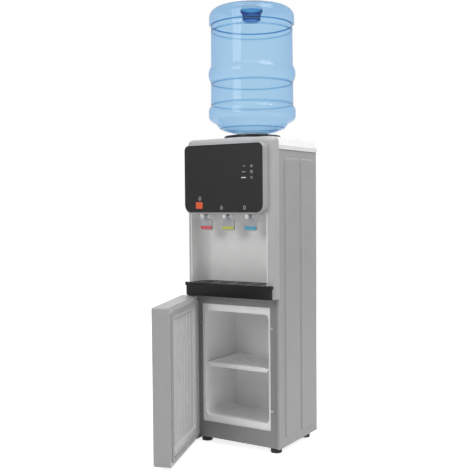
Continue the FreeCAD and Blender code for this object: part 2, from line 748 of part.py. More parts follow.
def control_board():
    """Circuit board on the back of the bezel wall, with its relays."""
    x0, x1, z0, z1 = board_span()
    y0 = HEAD_FRONT + 2 * HOUSING_WALL
    board = box(x0, x1, y0, y0 + BOARD_T, z0, z1)
    width, height, depth = RELAY
    y1 = y0 + BOARD_T
    gap = (BOARD_WIDTH - 3 * width) / 4
    relays = [box(x0 + gap + index * (width + gap), x0 + gap + index * (width + gap) + width, y1,
                  y1 + depth,
                  z0 + gap, z0 + gap + height) for index in range(3)]
    return union([board] + relays)


# Top cover, bottle seat and bottle

def cover_form(inset):
    """The cover's section drawn out from front to rear: a low band, a leaning shoulder and a flat top."""
    top = COVER_TOP - inset
    half = HALF - inset
    band_top = PANEL_TOP + COVER_BAND
    shoulder = half - COVER_SHOULDER_STEP
    brow = half - COVER_SHOULDER_STEP - COVER_SHOULDER_INSET
    right = [(half, PANEL_TOP), (half, band_top), (shoulder, band_top + COVER_SHOULDER_STEP),
             (brow, top - COVER_EDGE), (brow - COVER_EDGE, top)]
    outline = right + [(-x, z) for x, z in reversed(right)]
    face = Part.Face(Part.makePolygon([V(x, FRONT, z) for x, z in outline + outline[:1]]))
    return face.extrude(V(0, REAR - inset - FRONT, 0))


def top_cover():
    opening = rod(0, BOTTLE_Y, PANEL_TOP - 1, COVER_OPENING_R, COVER_HEIGHT + 2)
    outer = cover_form(0)
    upper = edges_along(outer, Y_AXIS, lambda c: c.z > COVER_TOP - COVER_EDGE - 1)
    outer = outer.makeFillet(COVER_EDGE_ROUND, upper)
    return outer.cut([cover_form(HOUSING_WALL), opening])


def bottle_well():
    """Flange ring on the cover, raised seat under the bottle, tube and tank lid in one turned moulding."""
    lid_top = LID_BOTTOM + WELL_LID_T
    flange_top = COVER_TOP + WELL_FLANGE_T
    tube_r = WELL_BORE_R + WELL_WALL
    under = WELL_SEAT_TOP - WELL_WALL
    return turned([(WELL_DROP_R, LID_BOTTOM), (WELL_LID_R, LID_BOTTOM), (WELL_LID_R, lid_top),
                   (tube_r, lid_top), (tube_r, under), (SEAT_TOP_R - WELL_WALL, under),
                   (SEAT_FOOT_R - WELL_WALL, COVER_TOP), (WELL_FLANGE_R, COVER_TOP),
                   (WELL_FLANGE_R, flange_top),
                   (SEAT_FOOT_R, flange_top), (SEAT_TOP_R, WELL_SEAT_TOP), (SEAT_HOLE_R, WELL_SEAT_TOP),
                   (SEAT_HOLE_R, under), (WELL_BORE_R, under), (WELL_BORE_R, lid_top),
                   (WELL_DROP_R, lid_top)], 0, BOTTLE_Y)


def bottle_collar():
    """Dark ring round the bottle's seat, hollow below."""
    bottom = COVER_TOP + WELL_FLANGE_T
    under = COLLAR_TOP - COLLAR_WALL
    outer = COLLAR_R - COLLAR_WALL
    inner = COLLAR_HOLE_R + COLLAR_WALL
    ring = turned([(COLLAR_HOLE_R, bottom), (inner, bottom), (inner, under), (outer, under), (outer, bottom),
                   (COLLAR_R, bottom), (COLLAR_R, COLLAR_TOP), (COLLAR_HOLE_R, COLLAR_TOP)], 0, BOTTLE_Y)
    return round_loop(ring, COLLAR_ROUND / 2,
                      lambda edge: level_edge(edge, COLLAR_TOP) and edge.BoundBox.XMax > outer)


def water_probe():
    """Hollow feed pin that pierces the bottle's cap, on a ported base."""
    base = LID_BOTTOM + WELL_LID_T
    foot = base + PROBE_BASE_T
    top = foot + PROBE_LENGTH
    pin = turned([(PROBE_BORE_R, base), (PROBE_BASE_R, base), (PROBE_BASE_R, foot), (PROBE_R, foot),
                  (PROBE_R, top - PROBE_TIP), (PROBE_BORE_R + 1, top), (PROBE_BORE_R, top)], 0, BOTTLE_Y)
    ring = (WELL_DROP_R + PROBE_R) / 2
    ports = [rod(ring * math.cos(2 * math.pi * index / PROBE_PORTS),
                 BOTTLE_Y + ring * math.sin(2 * math.pi * index / PROBE_PORTS), base - 1, PROBE_PORT_R,
                 PROBE_BASE_T + 2) for index in range(PROBE_PORTS)]
    return pin.cut(ports)


def bottle_form(inset):
    """The bottle turned from its outline; inset draws every wall in."""
    def at(radius, rise):
        return V(radius - inset, 0, SEAT_Z + rise)

    def wall(rise):
        share = (rise - BAND_ONE_TOP) / (BOTTLE_HEIGHT - BAND_ONE_TOP)
        return at(BOTTLE_BODY_R - BOTTLE_DRAFT * share, rise)

    def slanted(radius, rise):
        return V(radius - WALL_SLANT * inset, 0, SEAT_Z + rise + WALL_SLANT * inset)

    def turn_mid(crest, foot):
        """Middle of the arc that leaves the crest upright and ends at the foot."""
        reach = crest.x - foot.x
        drop = foot.z - crest.z
        radius = (reach ** 2 + drop ** 2) / (2 * reach)
        half = math.atan2(drop, radius - reach) / 2
        return V(crest.x - radius + radius * math.cos(half), 0, crest.z + radius * math.sin(half))

    edges = []
    place = [V(0, 0, SEAT_Z - NECK_DROP - (1 if inset else 0))]

    def line_to(point):
        edges.append(Part.LineSegment(place[-1], point).toShape())
        place.append(point)

    def arc_to(middle, point):
        edges.append(Part.Arc(place[-1], middle, point).toShape())
        place.append(point)

    line_to(V(NECK_R - inset, 0, place[0].z))
    line_to(at(NECK_R, inset))
    line_to(at(BOTTLE_SEAT_R, inset))
    knee_r, knee_z = BOWL_KNEE
    arc_to(slanted(*BOWL_MID), slanted(*BOWL_KNEE))
    line_to(slanted(knee_r + BOWL_LEDGE, knee_z))
    arc_to(slanted(*BOWL_SIDE), slanted(*STEP_FOOT))
    line_to(slanted(*STEP_TOP))
    flat_low, flat_high = BAND_ONE_FLAT
    low = at(BOTTLE_BAND_R, flat_low)
    high = at(BOTTLE_BAND_R, flat_high)
    arc_to(turn_mid(low, place[-1]), low)
    line_to(high)
    arc_to(turn_mid(high, wall(BAND_ONE_TOP)), wall(BAND_ONE_TOP))
    grooves = [(z, BOTTLE_BODY_R - GROOVE_DEPTH) for z in GROOVE_Z]
    grooves.append((BOTTLE_HEIGHT - TOP_GROOVE_DROP, BOTTLE_BODY_R - BOTTLE_DRAFT - GROOVE_DEPTH))
    swells = [(z - GROOVE_HALF, z + GROOVE_HALF, radius) for z, radius in grooves]
    swells.append((*BAND_TWO_Z, BOTTLE_BAND_R))
    for z0, z1, radius in sorted(swells):
        line_to(wall(z0))
        arc_to(at(radius, (z0 + z1) / 2), wall(z1))
    rim_z = BOTTLE_HEIGHT - RIM_DROP
    lift = (BOTTLE_RIM_R - BOTTLE_BODY_R + BOTTLE_DRAFT) / 2
    top = SEAT_Z + BOTTLE_HEIGHT - inset
    turn = BASE_ROUND - inset
    rim = BOTTLE_RIM_R - inset
    bend = turn * (1 - math.sqrt(0.5))
    line_to(wall(rim_z - lift))
    line_to(at(BOTTLE_RIM_R, rim_z + lift))
    line_to(V(rim, 0, top - turn))
    arc_to(V(rim - bend, 0, top - bend), V(rim - turn, 0, top))
    line_to(V(PUNT_R, 0, top))

    def below_base(radius, depth):
        return V(radius + WALL_SLANT * inset, 0, top - depth)

    arc_to(below_base(*PUNT_MID), below_base(*PUNT_FOOT))
    arc_to(below_base(*DIMPLE_MID), below_base(*DIMPLE_FOOT))
    line_to(V(0, 0, place[-1].z))
    line_to(place[0])
    solid = Part.Face(Part.Wire(edges)).revolve(V(0, 0, 0), Z_AXIS, 360)
    solid.translate(V(0, BOTTLE_Y, 0))
    return solid


def bottle():
    return bottle_form(0).cut(bottle_form(BOTTLE_WALL))


def bottle_cap():
    """Push-fit cap on the neck, open in the middle for the feed pin."""
    inner = NECK_R + RUN_FIT
    outer = inner + CAP_WALL
    seat = SEAT_Z - NECK_DROP
    bottom = seat - CAP_WALL
    return turned([(CAP_HOLE_R, bottom), (outer, bottom), (outer, bottom + CAP_HEIGHT),
                   (inner, bottom + CAP_HEIGHT),
                   (inner, seat), (CAP_HOLE_R, seat)], 0, BOTTLE_Y)


# Storage cabinet

def lower_frame():
    """Dark frame round the storage opening, its edges behind the side panels' hems."""
    frame = box(-INNER_X, INNER_X, FRAME_FRONT, FRAME_REAR, FOOT_HEIGHT, HOUSING_BOTTOM)
    opening = rounded_box(-OPENING_HALF, OPENING_HALF, FRAME_FRONT - 1, FRAME_REAR + 1, OPENING_BOTTOM,
                          OPENING_TOP,
                          FRAME_CORNER, Y_AXIS)
    holes = [rod(x, FRAME_FRONT - 1, z, SCREW_SHANK_R, FRAME_THICKNESS + 2,
                 Y_AXIS) for x, z in frame_screw_places()]
    return frame.cut([opening] + holes)


def frame_screw_places():
    x = OPENING_HALF + LINER_LAP / 2
    reach = (OPENING_TOP - OPENING_BOTTOM) / 6
    return [(side * x, z) for side in (-1, 1) for z in (OPENING_BOTTOM + reach, OPENING_TOP - reach)]


def cabinet_liner():
    """Light tub behind the frame: flange, land round the mouth, cavity and shelf ledges."""
    lap = LINER_LAP
    flange_end = FRAME_REAR + LINER_WALL
    flange = box(-OPENING_HALF - lap, OPENING_HALF + lap, FRAME_REAR, flange_end, OPENING_BOTTOM - lap,
                 OPENING_TOP + lap)
    wall = LINER_WALL
    tub = rounded_box(-CAVITY_HALF - wall, CAVITY_HALF + wall, FRAME_REAR, CAVITY_BACK + wall,
                      CAVITY_BOTTOM - wall,
                      CAVITY_TOP + wall, CAVITY_CORNER, Y_AXIS)
    cavity = rounded_box(-CAVITY_HALF, CAVITY_HALF, FRAME_REAR + MOUTH_DEPTH, CAVITY_BACK, CAVITY_BOTTOM,
                         CAVITY_TOP,
                         CAVITY_CORNER - wall, Y_AXIS)
    mouth = rounded_box(-MOUTH_HALF, MOUTH_HALF, FRAME_REAR - 1, FRAME_REAR + MOUTH_DEPTH + 1, MOUTH_BOTTOM,
                        MOUTH_TOP, MOUTH_CORNER, Y_AXIS)
    holes = [rod(x, FRAME_REAR - 1, z, SCREW_SHANK_R, LINER_WALL + 2,
                 Y_AXIS) for x, z in frame_screw_places()]
    shell = union([flange, tub]).cut([cavity, mouth] + holes)
    ledge = box(CAVITY_HALF - LEDGE_WIDTH, CAVITY_HALF, FRAME_REAR + MOUTH_DEPTH, CAVITY_BACK,
                SHELF_Z - LEDGE_T,
                SHELF_Z)
    return union([shell, ledge, mirrored(ledge)])


def shelf():
    """Slotted shelf with a deep front rail, resting on the liner's ledges."""
    half = MOUTH_HALF - SHELF_SIDE_GAP
    y0 = FRAME_REAR + MOUTH_DEPTH / 2
    y1 = CAVITY_BACK - SHELF_SIDE_GAP
    z0 = SHELF_Z + SEAT_GAP
    plate = box(-half, half, y0, y1, z0, z0 + SHELF_T)
    rail_half = CAVITY_HALF - LEDGE_WIDTH - SHELF_SIDE_GAP
    rail = rounded_box(-rail_half, rail_half, y0, y0 + SHELF_T, z0 + SHELF_T - SHELF_RAIL,
                       z0 + SHELF_T + 1, 1,
                       X_AXIS)
    count = int((2 * (half - SHELF_MARGIN) - SHELF_SLOT) // SHELF_SLOT_PITCH)
    first = -count * SHELF_SLOT_PITCH / 2
    slots = [rounded_box(first + step * SHELF_SLOT_PITCH - SHELF_SLOT / 2,
                         first + step * SHELF_SLOT_PITCH + SHELF_SLOT / 2, y0 + SHELF_MARGIN,
                         y1 - SHELF_MARGIN,
                         z0 - 1, z0 + SHELF_T + 1, SHELF_SLOT / 2 - SLOT_TRIM,
                         Z_AXIS) for step in range(count + 1)]
    return union([plate, rail]).cut(slots)


# Door, built closed and then swung open about its hinge line

def swung(shape):
    opened = shape.copy()
    opened.rotate(V(HINGE_X, HINGE_Y, 0), Z_AXIS, -DOOR_OPEN)
    return opened


def door_block(inset):
    solid = box(-DOOR_HALF + inset, DOOR_HALF - inset, DOOR_OUTER + inset, DOOR_INNER, DOOR_BOTTOM + inset,
                DOOR_TOP - inset)
    return solid.makeFillet(DOOR_CORNER - inset,
                            edges_along(solid, Z_AXIS, lambda c: c.y < DOOR_OUTER + inset + 1))


def bush_places():
    """Lowest height of each bush: one in the door's foot, one in its head."""
    return (DOOR_BOTTOM, DOOR_TOP - BUSH_LENGTH)


def door_shell():
    """Hollow door pan with rounded outer corners and bored hinge bosses."""
    block = round_loop(door_block(0), DOOR_EDGE, lambda edge: depth_edge(edge, DOOR_OUTER))
    bosses = [rod(HINGE_X, HINGE_Y, z, BUSH_BOSS_R, BUSH_LENGTH).common(block) for z in bush_places()]
    bores = [rod(HINGE_X, HINGE_Y, z - 1, BUSH_R + RUN_FIT / 2, BUSH_LENGTH + 2) for z in bush_places()]
    return union([block.cut(door_block(DOOR_WALL))] + bosses).cut(bores)


def hinge_bushes():
    """Plain bearing sleeves pressed into the door."""
    return group([swung(rod(HINGE_X, HINGE_Y, z, BUSH_R, BUSH_LENGTH).cut(
        rod(HINGE_X, HINGE_Y, z - 1, PIN_R + RUN_FIT, BUSH_LENGTH + 2))) for z in bush_places()])


def door_liner():
    """Inner panel set in the pan: flat border, sunk field and upright ribs."""
    half = DOOR_HALF - DOOR_WALL
    z0 = DOOR_BOTTOM + DOOR_WALL
    z1 = DOOR_TOP - DOOR_WALL
    plate = box(-half, half, DOOR_INNER - LINER_PLATE_T, DOOR_INNER, z0, z1)
    inset = LINER_FIELD_INSET
    span = (-DOOR_HALF + inset, DOOR_HALF - inset, DOOR_BOTTOM + inset, DOOR_TOP - inset)
    field = frustum(span, LINER_FIELD_SLOPE, LINER_FIELD_CORNER, lambda x, z: V(x, DOOR_INNER, z),
                    lambda x, z: V(x, DOOR_INNER - LINER_FIELD_DEPTH, z))
    pan = field.copy()
    pan.translate(V(0, -LINER_PLATE_T, 0))
    floor = DOOR_INNER - LINER_FIELD_DEPTH
    usable = 2 * (DOOR_HALF - inset - LINER_FIELD_SLOPE)
    pitch = usable / (LINER_RIBS + 1)
    z_low = DOOR_BOTTOM + inset + LINER_FIELD_SLOPE + LINER_RIB_R
    z_high = DOOR_TOP - inset - LINER_FIELD_SLOPE - LINER_RIB_R
    ribs = [rod(-usable / 2 + (index + 1) * pitch, floor, z_low, LINER_RIB_R, z_high - z_low)
            for index in range(LINER_RIBS)]
    behind = box(-half, half, DOOR_OUTER, floor, z0, z1)
    return union([plate.fuse(pan).cut(field)] + [rib.cut(behind) for rib in ribs])


def door_gasket():
    """Soft seal round the liner's border, with a lip towards the frame."""
    outer = DOOR_HALF - GASKET_INSET
    inner = outer - GASKET_WIDTH
    z0 = DOOR_BOTTOM + GASKET_INSET
    z1 = DOOR_TOP - GASKET_INSET
    lip = FRAME_FRONT - SEAT_GAP
    body = rounded_box(-outer, outer, DOOR_INNER, lip, z0, z1, GASKET_WIDTH, Y_AXIS)
    body = round_loop(body, (lip - DOOR_INNER) / 2, lambda edge: depth_edge(edge, lip))
    hole = rounded_box(-inner, inner, DOOR_INNER - 1, lip + 1, z0 + GASKET_WIDTH, z1 - GASKET_WIDTH,
                       GASKET_WIDTH / 3, Y_AXIS)
    return body.cut(hole)


def hinge_brackets():
    """Two steel plates with upright pins, over and under the door's hinge edge."""
    y_front = HINGE_Y - 2 * BUSH_R
    x0, x1 = -SKIN_X, -SKIN_X + BRACKET_WIDTH
    upper = rounded_box(x0, x1, y_front, FRONT, HOUSING_BOTTOM - BRACKET_T, HOUSING_BOTTOM, BUSH_R, Z_AXIS,
                        lambda c: c.y < HINGE_Y)
    lower = rounded_box(x0, x1, y_front, FRAME_REAR + FRAME_THICKNESS, FOOT_HEIGHT - BRACKET_T,
                        FOOT_HEIGHT, BUSH_R,
                        Z_AXIS, lambda c: c.y < HINGE_Y)
    upper_pin = rod(HINGE_X, HINGE_Y, HOUSING_BOTTOM - BRACKET_T - PIN_LENGTH, PIN_R, PIN_LENGTH)
    lower_pin = rod(HINGE_X, HINGE_Y, FOOT_HEIGHT, PIN_R, PIN_LENGTH)
    return group([union([upper, upper_pin]), union([lower, lower_pin])])


# Drip tray

def tray_basin_span():
    """Half width and rear end of the tray's basin between the columns."""
    half = ALCOVE_HALF - ALCOVE_WALL - 2 * SEAT_GAP
    return half, ALCOVE_BACK - 2 * SEAT_GAP


def tray_plan(half, y0, y1, z0, z1, front_radius, rear_radius):
    solid = box(-half, half, y0, y1, z0, z1)
    middle = (y0 + y1) / 2
    if front_radius:
        solid = solid.makeFillet(front_radius, edges_along(solid, Z_AXIS, lambda c: c.y < middle))
    if rear_radius:
        solid = solid.makeFillet(rear_radius, edges_along(solid, Z_AXIS, lambda c: c.y > middle))
    return solid


def drip_tray():
    """Tray with a full-width lipped front and a basin that slides in between the columns."""
    half, rear = tray_basin_span()
    gap_front = COLUMN_FRONT - SEAT_GAP
    step = TRAY_LIP_STEP
    lip = tray_plan(TRAY_HALF, TRAY_FRONT, gap_front, TRAY_TOP - TRAY_LIP, TRAY_TOP, TRAY_CORNER - step, 0)
    skirt = tray_plan(TRAY_HALF - step, TRAY_FRONT + step, gap_front, HOUSING_BOTTOM + SEAT_GAP,
                      TRAY_TOP - TRAY_LIP,
                      TRAY_CORNER - 2 * step, 0)
    floor = DECK_TOP + ALCOVE_WALL + SEAT_GAP
    basin = tray_plan(half, TRAY_FRONT + step, rear, floor, TRAY_TOP, TRAY_CORNER, ALCOVE_CORNER)
    wall = TRAY_WALL + GRILLE_LEDGE
    hollow = tray_plan(half - wall, TRAY_FRONT + step + wall, rear - wall, floor + TRAY_FLOOR, TRAY_TOP + 1,
                       TRAY_CORNER - step, ALCOVE_CORNER - wall)
    return union([lip, skirt, basin]).cut([hollow, grille_pocket(0)])


def grille_pocket(gap):
    half, rear = tray_basin_span()
    inset = TRAY_WALL + gap
    z0 = TRAY_TOP - GRILLE_T - GRILLE_DROP
    return tray_plan(half - inset, TRAY_FRONT + TRAY_LIP_STEP + inset, rear - inset, z0, TRAY_TOP + 1 - gap,
                     TRAY_CORNER - gap, ALCOVE_CORNER - inset)


def drip_grille():
    """Lift-out plate with columns of rounded slots."""
    half, rear = tray_basin_span()
    pocket = grille_pocket(SEAT_GAP)
    z0 = TRAY_TOP - GRILLE_T - GRILLE_DROP
    plate = pocket.common(box(-HALF, HALF, TRAY_FRONT, REAR, z0, z0 + GRILLE_T))
    y0 = TRAY_FRONT + TRAY_LIP_STEP + TRAY_WALL + GRILLE_BAR
    y1 = rear - TRAY_WALL - GRILLE_BAR
    width = 2 * (half - TRAY_WALL - GRILLE_BAR)
    length = (width - (GRILLE_COLUMNS - 1) * GRILLE_BAR) / GRILLE_COLUMNS
    rows = int((y1 - y0) // GRILLE_SLOT_PITCH)
    slots = []
    for column in range(GRILLE_COLUMNS):
        x0 = -width / 2 + column * (length + GRILLE_BAR)
        trim = GRILLE_BAR if column in (0, GRILLE_COLUMNS - 1) else 0
        for row in range(rows):
            y = y0 + row * GRILLE_SLOT_PITCH
            left = x0 + (trim if column == 0 else 0)
            right = x0 + length - (trim if column else 0)
            slots.append(rounded_box(left, right, y, y + GRILLE_SLOT, z0 - 1, z0 + GRILLE_T + 1,
                                     GRILLE_SLOT / 2 - SLOT_TRIM, Z_AXIS))
    return plate.cut(slots)


# Taps and levers

def tap(x):
    """Valve body over the alcove with a hose spigot, hinge lugs and the lever's pin."""
    half = TAP_WIDTH / 2
    y0 = NOZZLE_Y + NOZZLE_R
    body = rounded_box(x - half, x + half, y0, y0 + TAP_LENGTH, TAP_BASE, TAP_TOP, LEVER_BOSS_R, X_AXIS,
                       lambda c: c.z > TAP_BASE)
    shoe = box(x - half, x + half, NOZZLE_Y - NOZZLE_R + SEAT_GAP, y0, TAP_BASE, TAP_BASE + TAP_SHOE_H)
    spigot = rod(x, LEVER_Y, TAP_TOP, HOSE_R, SPIGOT_HEIGHT)
    lugs = []
    for side in (-1, 1):
        inner = x + side * LUG_GAP / 2
        outer = inner + side * LUG_T
        lugs.append(rounded_box(min(inner, outer), max(inner, outer), LEVER_Y - LUG_DEPTH / 2,
                                LEVER_Y + LUG_DEPTH / 2, ALCOVE_TOP - LUG_DROP, TAP_BASE, LEVER_BOSS_R,
                                X_AXIS,
                                lambda c: c.z < ALCOVE_TOP))
    pin = rod(x - LUG_GAP / 2 - LUG_T, LEVER_Y, LEVER_Z, LEVER_PIN_R, LUG_GAP + 2 * LUG_T, X_AXIS)
    return union([body, shoe, spigot, pin] + lugs)


def nozzle(x):
    """White spout under the valve, bored and slightly tapered."""
    bottom = HEAD_BOTTOM - NOZZLE_DROP
    return turned([(NOZZLE_BORE_R, bottom), (NOZZLE_R - 1, bottom), (NOZZLE_R, bottom + NOZZLE_DROP / 2),
                   (NOZZLE_R, TAP_BASE), (NOZZLE_BORE_R, TAP_BASE)], x, NOZZLE_Y)


def lever(x):
    """Push paddle hung on the tap's pin."""
    half = LEVER_WIDTH / 2
    boss_half = LUG_GAP / 2 - SEAT_GAP
    z0 = LEVER_Z - LEVER_LENGTH
    shoulder = ALCOVE_TOP - LUG_DROP - 2 * SEAT_GAP - LEVER_BOSS_R
    paddle = rounded_box(x - half, x + half, LEVER_Y - LEVER_T / 2, LEVER_Y + LEVER_T / 2, z0, shoulder,
                         LEVER_CORNER,
                         Y_AXIS)
    stem = box(x - boss_half, x + boss_half, LEVER_Y - LEVER_T / 2, LEVER_Y + LEVER_T / 2, shoulder - 1,
               LEVER_Z)
    boss = rod(x - boss_half, LEVER_Y, LEVER_Z, LEVER_BOSS_R, 2 * boss_half, X_AXIS)
    bore = rod(x - half, LEVER_Y, LEVER_Z, LEVER_PIN_R + RUN_FIT, 2 * half, X_AXIS)
    return union([paddle, stem, boss]).cut(bore)


def tab(x):
    """Coloured bar on the front of a paddle."""
    half = TAB_WIDTH / 2
    z0 = LEVER_Z - LEVER_LENGTH + TAB_RISE
    y1 = LEVER_Y - LEVER_T / 2
    bar = rounded_box(x - half, x + half, y1 - TAB_T, y1, z0, z0 + TAB_HEIGHT, LEVER_CORNER / 2, Y_AXIS)
    return round_loop(bar, TAB_T / 3, lambda edge: depth_edge(edge, y1 - TAB_T))


# Tanks, jackets and hoses

def drum(radius, z0, z1, x, y, rounding, open_top):
    """A thin-walled tank turned with a rounded foot; a closed one has a rounded head too."""
    def form(inset, top):
        solid = rod(x, y, z0 + inset, radius - inset, top - z0 - inset)
        solid = round_loop(solid, rounding - inset, lambda edge: level_edge(edge, z0 + inset))
        if not open_top:
            solid = round_loop(solid, rounding - inset, lambda edge: level_edge(edge, top))
        return solid
    inner_top = z1 + 1 if open_top else z1 - TANK_WALL
    return form(0, z1).cut(form(TANK_WALL, inner_top))


def cold_outlets():
    """Place and height of the cold and the room-temperature outlet stubs."""
    return ((COLD_OUT_X, COLD_BASE + COLD_OUT_RISE), (TAP_X[1], COLD_BASE + ROOM_OUT_RISE))


def stub_front():
    return BOTTLE_Y - COLD_R - STUB_LENGTH


def cold_stub_rods(radius):
    """Outlets towards the taps and the feed under the tank."""
    y0 = stub_front()
    stubs = [rod(x, y0, z, radius, BOTTLE_Y - y0 - math.sqrt(COLD_R ** 2 - x ** 2) + TANK_WALL / 2, Y_AXIS)
             for x, z in cold_outlets()]
    foot = TANK_SHELF_Z - HOSE_R
    return stubs + [rod(0, BOTTLE_Y, foot, radius, COLD_BASE + TANK_WALL / 2 - foot)]


def cold_tank():
    tank = drum(COLD_R, COLD_BASE, LID_BOTTOM, 0, BOTTLE_Y, TANK_ROUND, True)
    return union([tank] + cold_stub_rods(HOSE_R))


def cold_tank_jacket():
    """Foam cup round the cold tank with a window for the cooling block."""
    outer = COLD_R + JACKET_T
    cup = rod(0, BOTTLE_Y, TANK_SHELF_TOP, outer, LID_BOTTOM - TANK_SHELF_TOP)
    hollow = rod(0, BOTTLE_Y, COLD_BASE - SEAT_GAP, COLD_R + SEAT_GAP, COLD_HEIGHT + 2)
    half = BLOCK_SIZE / 2 + SEAT_GAP
    window = box(-half, half, BOTTLE_Y, BOTTLE_Y + outer + 1, COOLER_Z - half, COOLER_Z + half)
    return cup.cut([hollow, window] + cold_stub_rods(HOSE_R + SEAT_GAP))


def tank_separator():
    """Plate that keeps the room-temperature water above the chilled water."""
    z1 = LID_BOTTOM - SEPARATOR_DROP
    plate = rod(0, BOTTLE_Y, z1 - SEPARATOR_T, COLD_R - TANK_WALL - SEAT_GAP, SEPARATOR_T)
    ring = COLD_R / 2
    ports = [rod(ring * math.cos(2 * math.pi * index / SEPARATOR_PORTS),
                 BOTTLE_Y + ring * math.sin(2 * math.pi * index / SEPARATOR_PORTS), z1 - SEPARATOR_T - 1,
                 SEPARATOR_PORT_R, SEPARATOR_T + 2) for index in range(SEPARATOR_PORTS)]
    return plate.cut(ports)


def drain_rod(radius):
    y0 = HOT_Y + HOT_R - TANK_WALL / 2
    return rod(0, y0, DRAIN_Z, radius, REAR + DRAIN_PROUD - y0, Y_AXIS)


def hot_tank():
    """Closed steel tank with top ports and the drain pipe to the back."""
    tank = drum(HOT_R, HOT_BASE, HOT_TOP, 0, HOT_Y, TANK_ROUND, False)
    ports = [rod(side * HOT_PORT_X, HOT_Y, HOT_TOP - TANK_WALL / 2, HOSE_R, HOT_STUB + TANK_WALL / 2)
             for side in (-1, 1)]
    return union([tank, drain_rod(DRAIN_R)] + ports)


def heater_ring(inner, outer, margin):
    z0 = DRAIN_Z + DRAIN_R + HEATER_RISE - margin
    height = HEATER_HEIGHT + 2 * margin
    return rod(0, HOT_Y, z0, outer, height).cut(rod(0, HOT_Y, z0 - 1, inner, height + 2))


def band_heater():
    """Split band clamped round the hot tank."""
    ring = heater_ring(HOT_R + RUN_FIT, HOT_R + HEATER_T, 0)
    return ring.cut(box(-HEATER_SPLIT / 2, HEATER_SPLIT / 2, HOT_Y - 2 * HOT_R, HOT_Y, HOT_BASE, HOT_TOP))


def hot_tank_jacket():
    """Foam cup round the hot tank, grooved for the band heater."""
    cup = rod(0, HOT_Y, DECK_TOP, HOT_R + JACKET_T, HOT_TOP - DECK_TOP)
    hollow = rod(0, HOT_Y, HOT_BASE - SEAT_GAP, HOT_R + SEAT_GAP, HOT_HEIGHT + 2)
    groove = heater_ring(HOT_R, HOT_R + HEATER_T + SEAT_GAP, SEAT_GAP)
    return cup.cut([hollow, groove, drain_rod(DRAIN_R + SEAT_GAP)])


def thermostats():
    """Two disc thermostats on the hot tank's head."""
    return group([rod(0, HOT_Y + side * THERMOSTAT_Y, HOT_TOP, THERMOSTAT_R, THERMOSTAT_H) for side in (-1,
                                                                                                        1)])


def hot_hose_x():
    return -HOT_PORT_X - HOT_HOSE_OFFSET


def water_tubes():
    """Hoses from the tanks to the three taps and from the cold tank to the hot tank."""
    y_out = stub_front()
    (cold_x, cold_z), (room_x, room_z) = cold_outlets()
    hot_x, room_tap_x, cold_tap_x = TAP_X
    cold = [V(cold_x, y_out, cold_z), V(cold_x, LEVER_Y, cold_z), V(cold_tap_x, LEVER_Y, cold_z),
            V(cold_tap_x, LEVER_Y, SPIGOT_TOP)]
    room = [V(room_x, y_out, room_z), V(room_tap_x, LEVER_Y, room_z), V(room_tap_x, LEVER_Y, SPIGOT_TOP)]
    stub_top = HOT_TOP + HOT_STUB
    turn_z = stub_top + HOT_HOSE_RISE
    side_x = hot_hose_x()
    hot = [V(-HOT_PORT_X, HOT_Y, stub_top), V(-HOT_PORT_X, HOT_Y, turn_z), V(side_x, HOT_Y, turn_z),
           V(side_x, HOT_Y, cold_z), V(side_x, LEVER_Y, cold_z), V(hot_x, LEVER_Y, cold_z),
           V(hot_x, LEVER_Y, SPIGOT_TOP)]
    feed_top = TANK_SHELF_Z - HOSE_R
    feed_z = (feed_top + stub_top) / 2
    feed = [V(0, BOTTLE_Y, feed_top), V(0, BOTTLE_Y, feed_z), V(HOT_PORT_X, HOT_Y, feed_z),
            V(HOT_PORT_X, HOT_Y, stub_top)]
    return group([hose(route, HOSE_R, HOSE_BEND) for route in (cold, room, hot, feed)])


def drain_cap():
    """Ribbed cap on the drain pipe at the back."""
    y0 = REAR + SEAT_GAP
    y1 = REAR + DRAIN_PROUD + DRAIN_CAP_WALL
    cap = rod(0, y0, DRAIN_Z, DRAIN_CAP_R, y1 - y0, Y_AXIS)
    return cap.cut(rod(0, y0 - 1, DRAIN_Z, DRAIN_R + RUN_FIT, REAR + DRAIN_PROUD - y0 + 1, Y_AXIS))


# Thermoelectric cooling

def cold_block():
    """Aluminium block with a hollowed face against the cold tank."""
    half = BLOCK_SIZE / 2
    block = box(-half, half, BOTTLE_Y, BLOCK_END_Y, COOLER_Z - half, COOLER_Z + half)
    return block.cut(rod(0, BOTTLE_Y, COOLER_Z - BLOCK_SIZE, COLD_R + RUN_FIT, 2 * BLOCK_SIZE))


def cooling_module():
    half = MODULE_SIZE / 2
    return box(-half, half, BLOCK_END_Y, SINK_Y, COOLER_Z - half, COOLER_Z + half)


def heat_sink():
    """Finned aluminium sink between the module and the fan."""
    half = SINK_WIDTH / 2
    base = box(-half, half, SINK_Y, SINK_Y + SINK_BASE, COOLER_Z - half, COOLER_Z + half)
    pitch = (SINK_WIDTH - SINK_FIN_T) / (SINK_FINS - 1)
    fins = [box(-half + index * pitch, -half + index * pitch + SINK_FIN_T, SINK_Y + SINK_BASE, FAN_Y,
                COOLER_Z - half, COOLER_Z + half) for index in range(SINK_FINS)]
    return union([base] + fins)


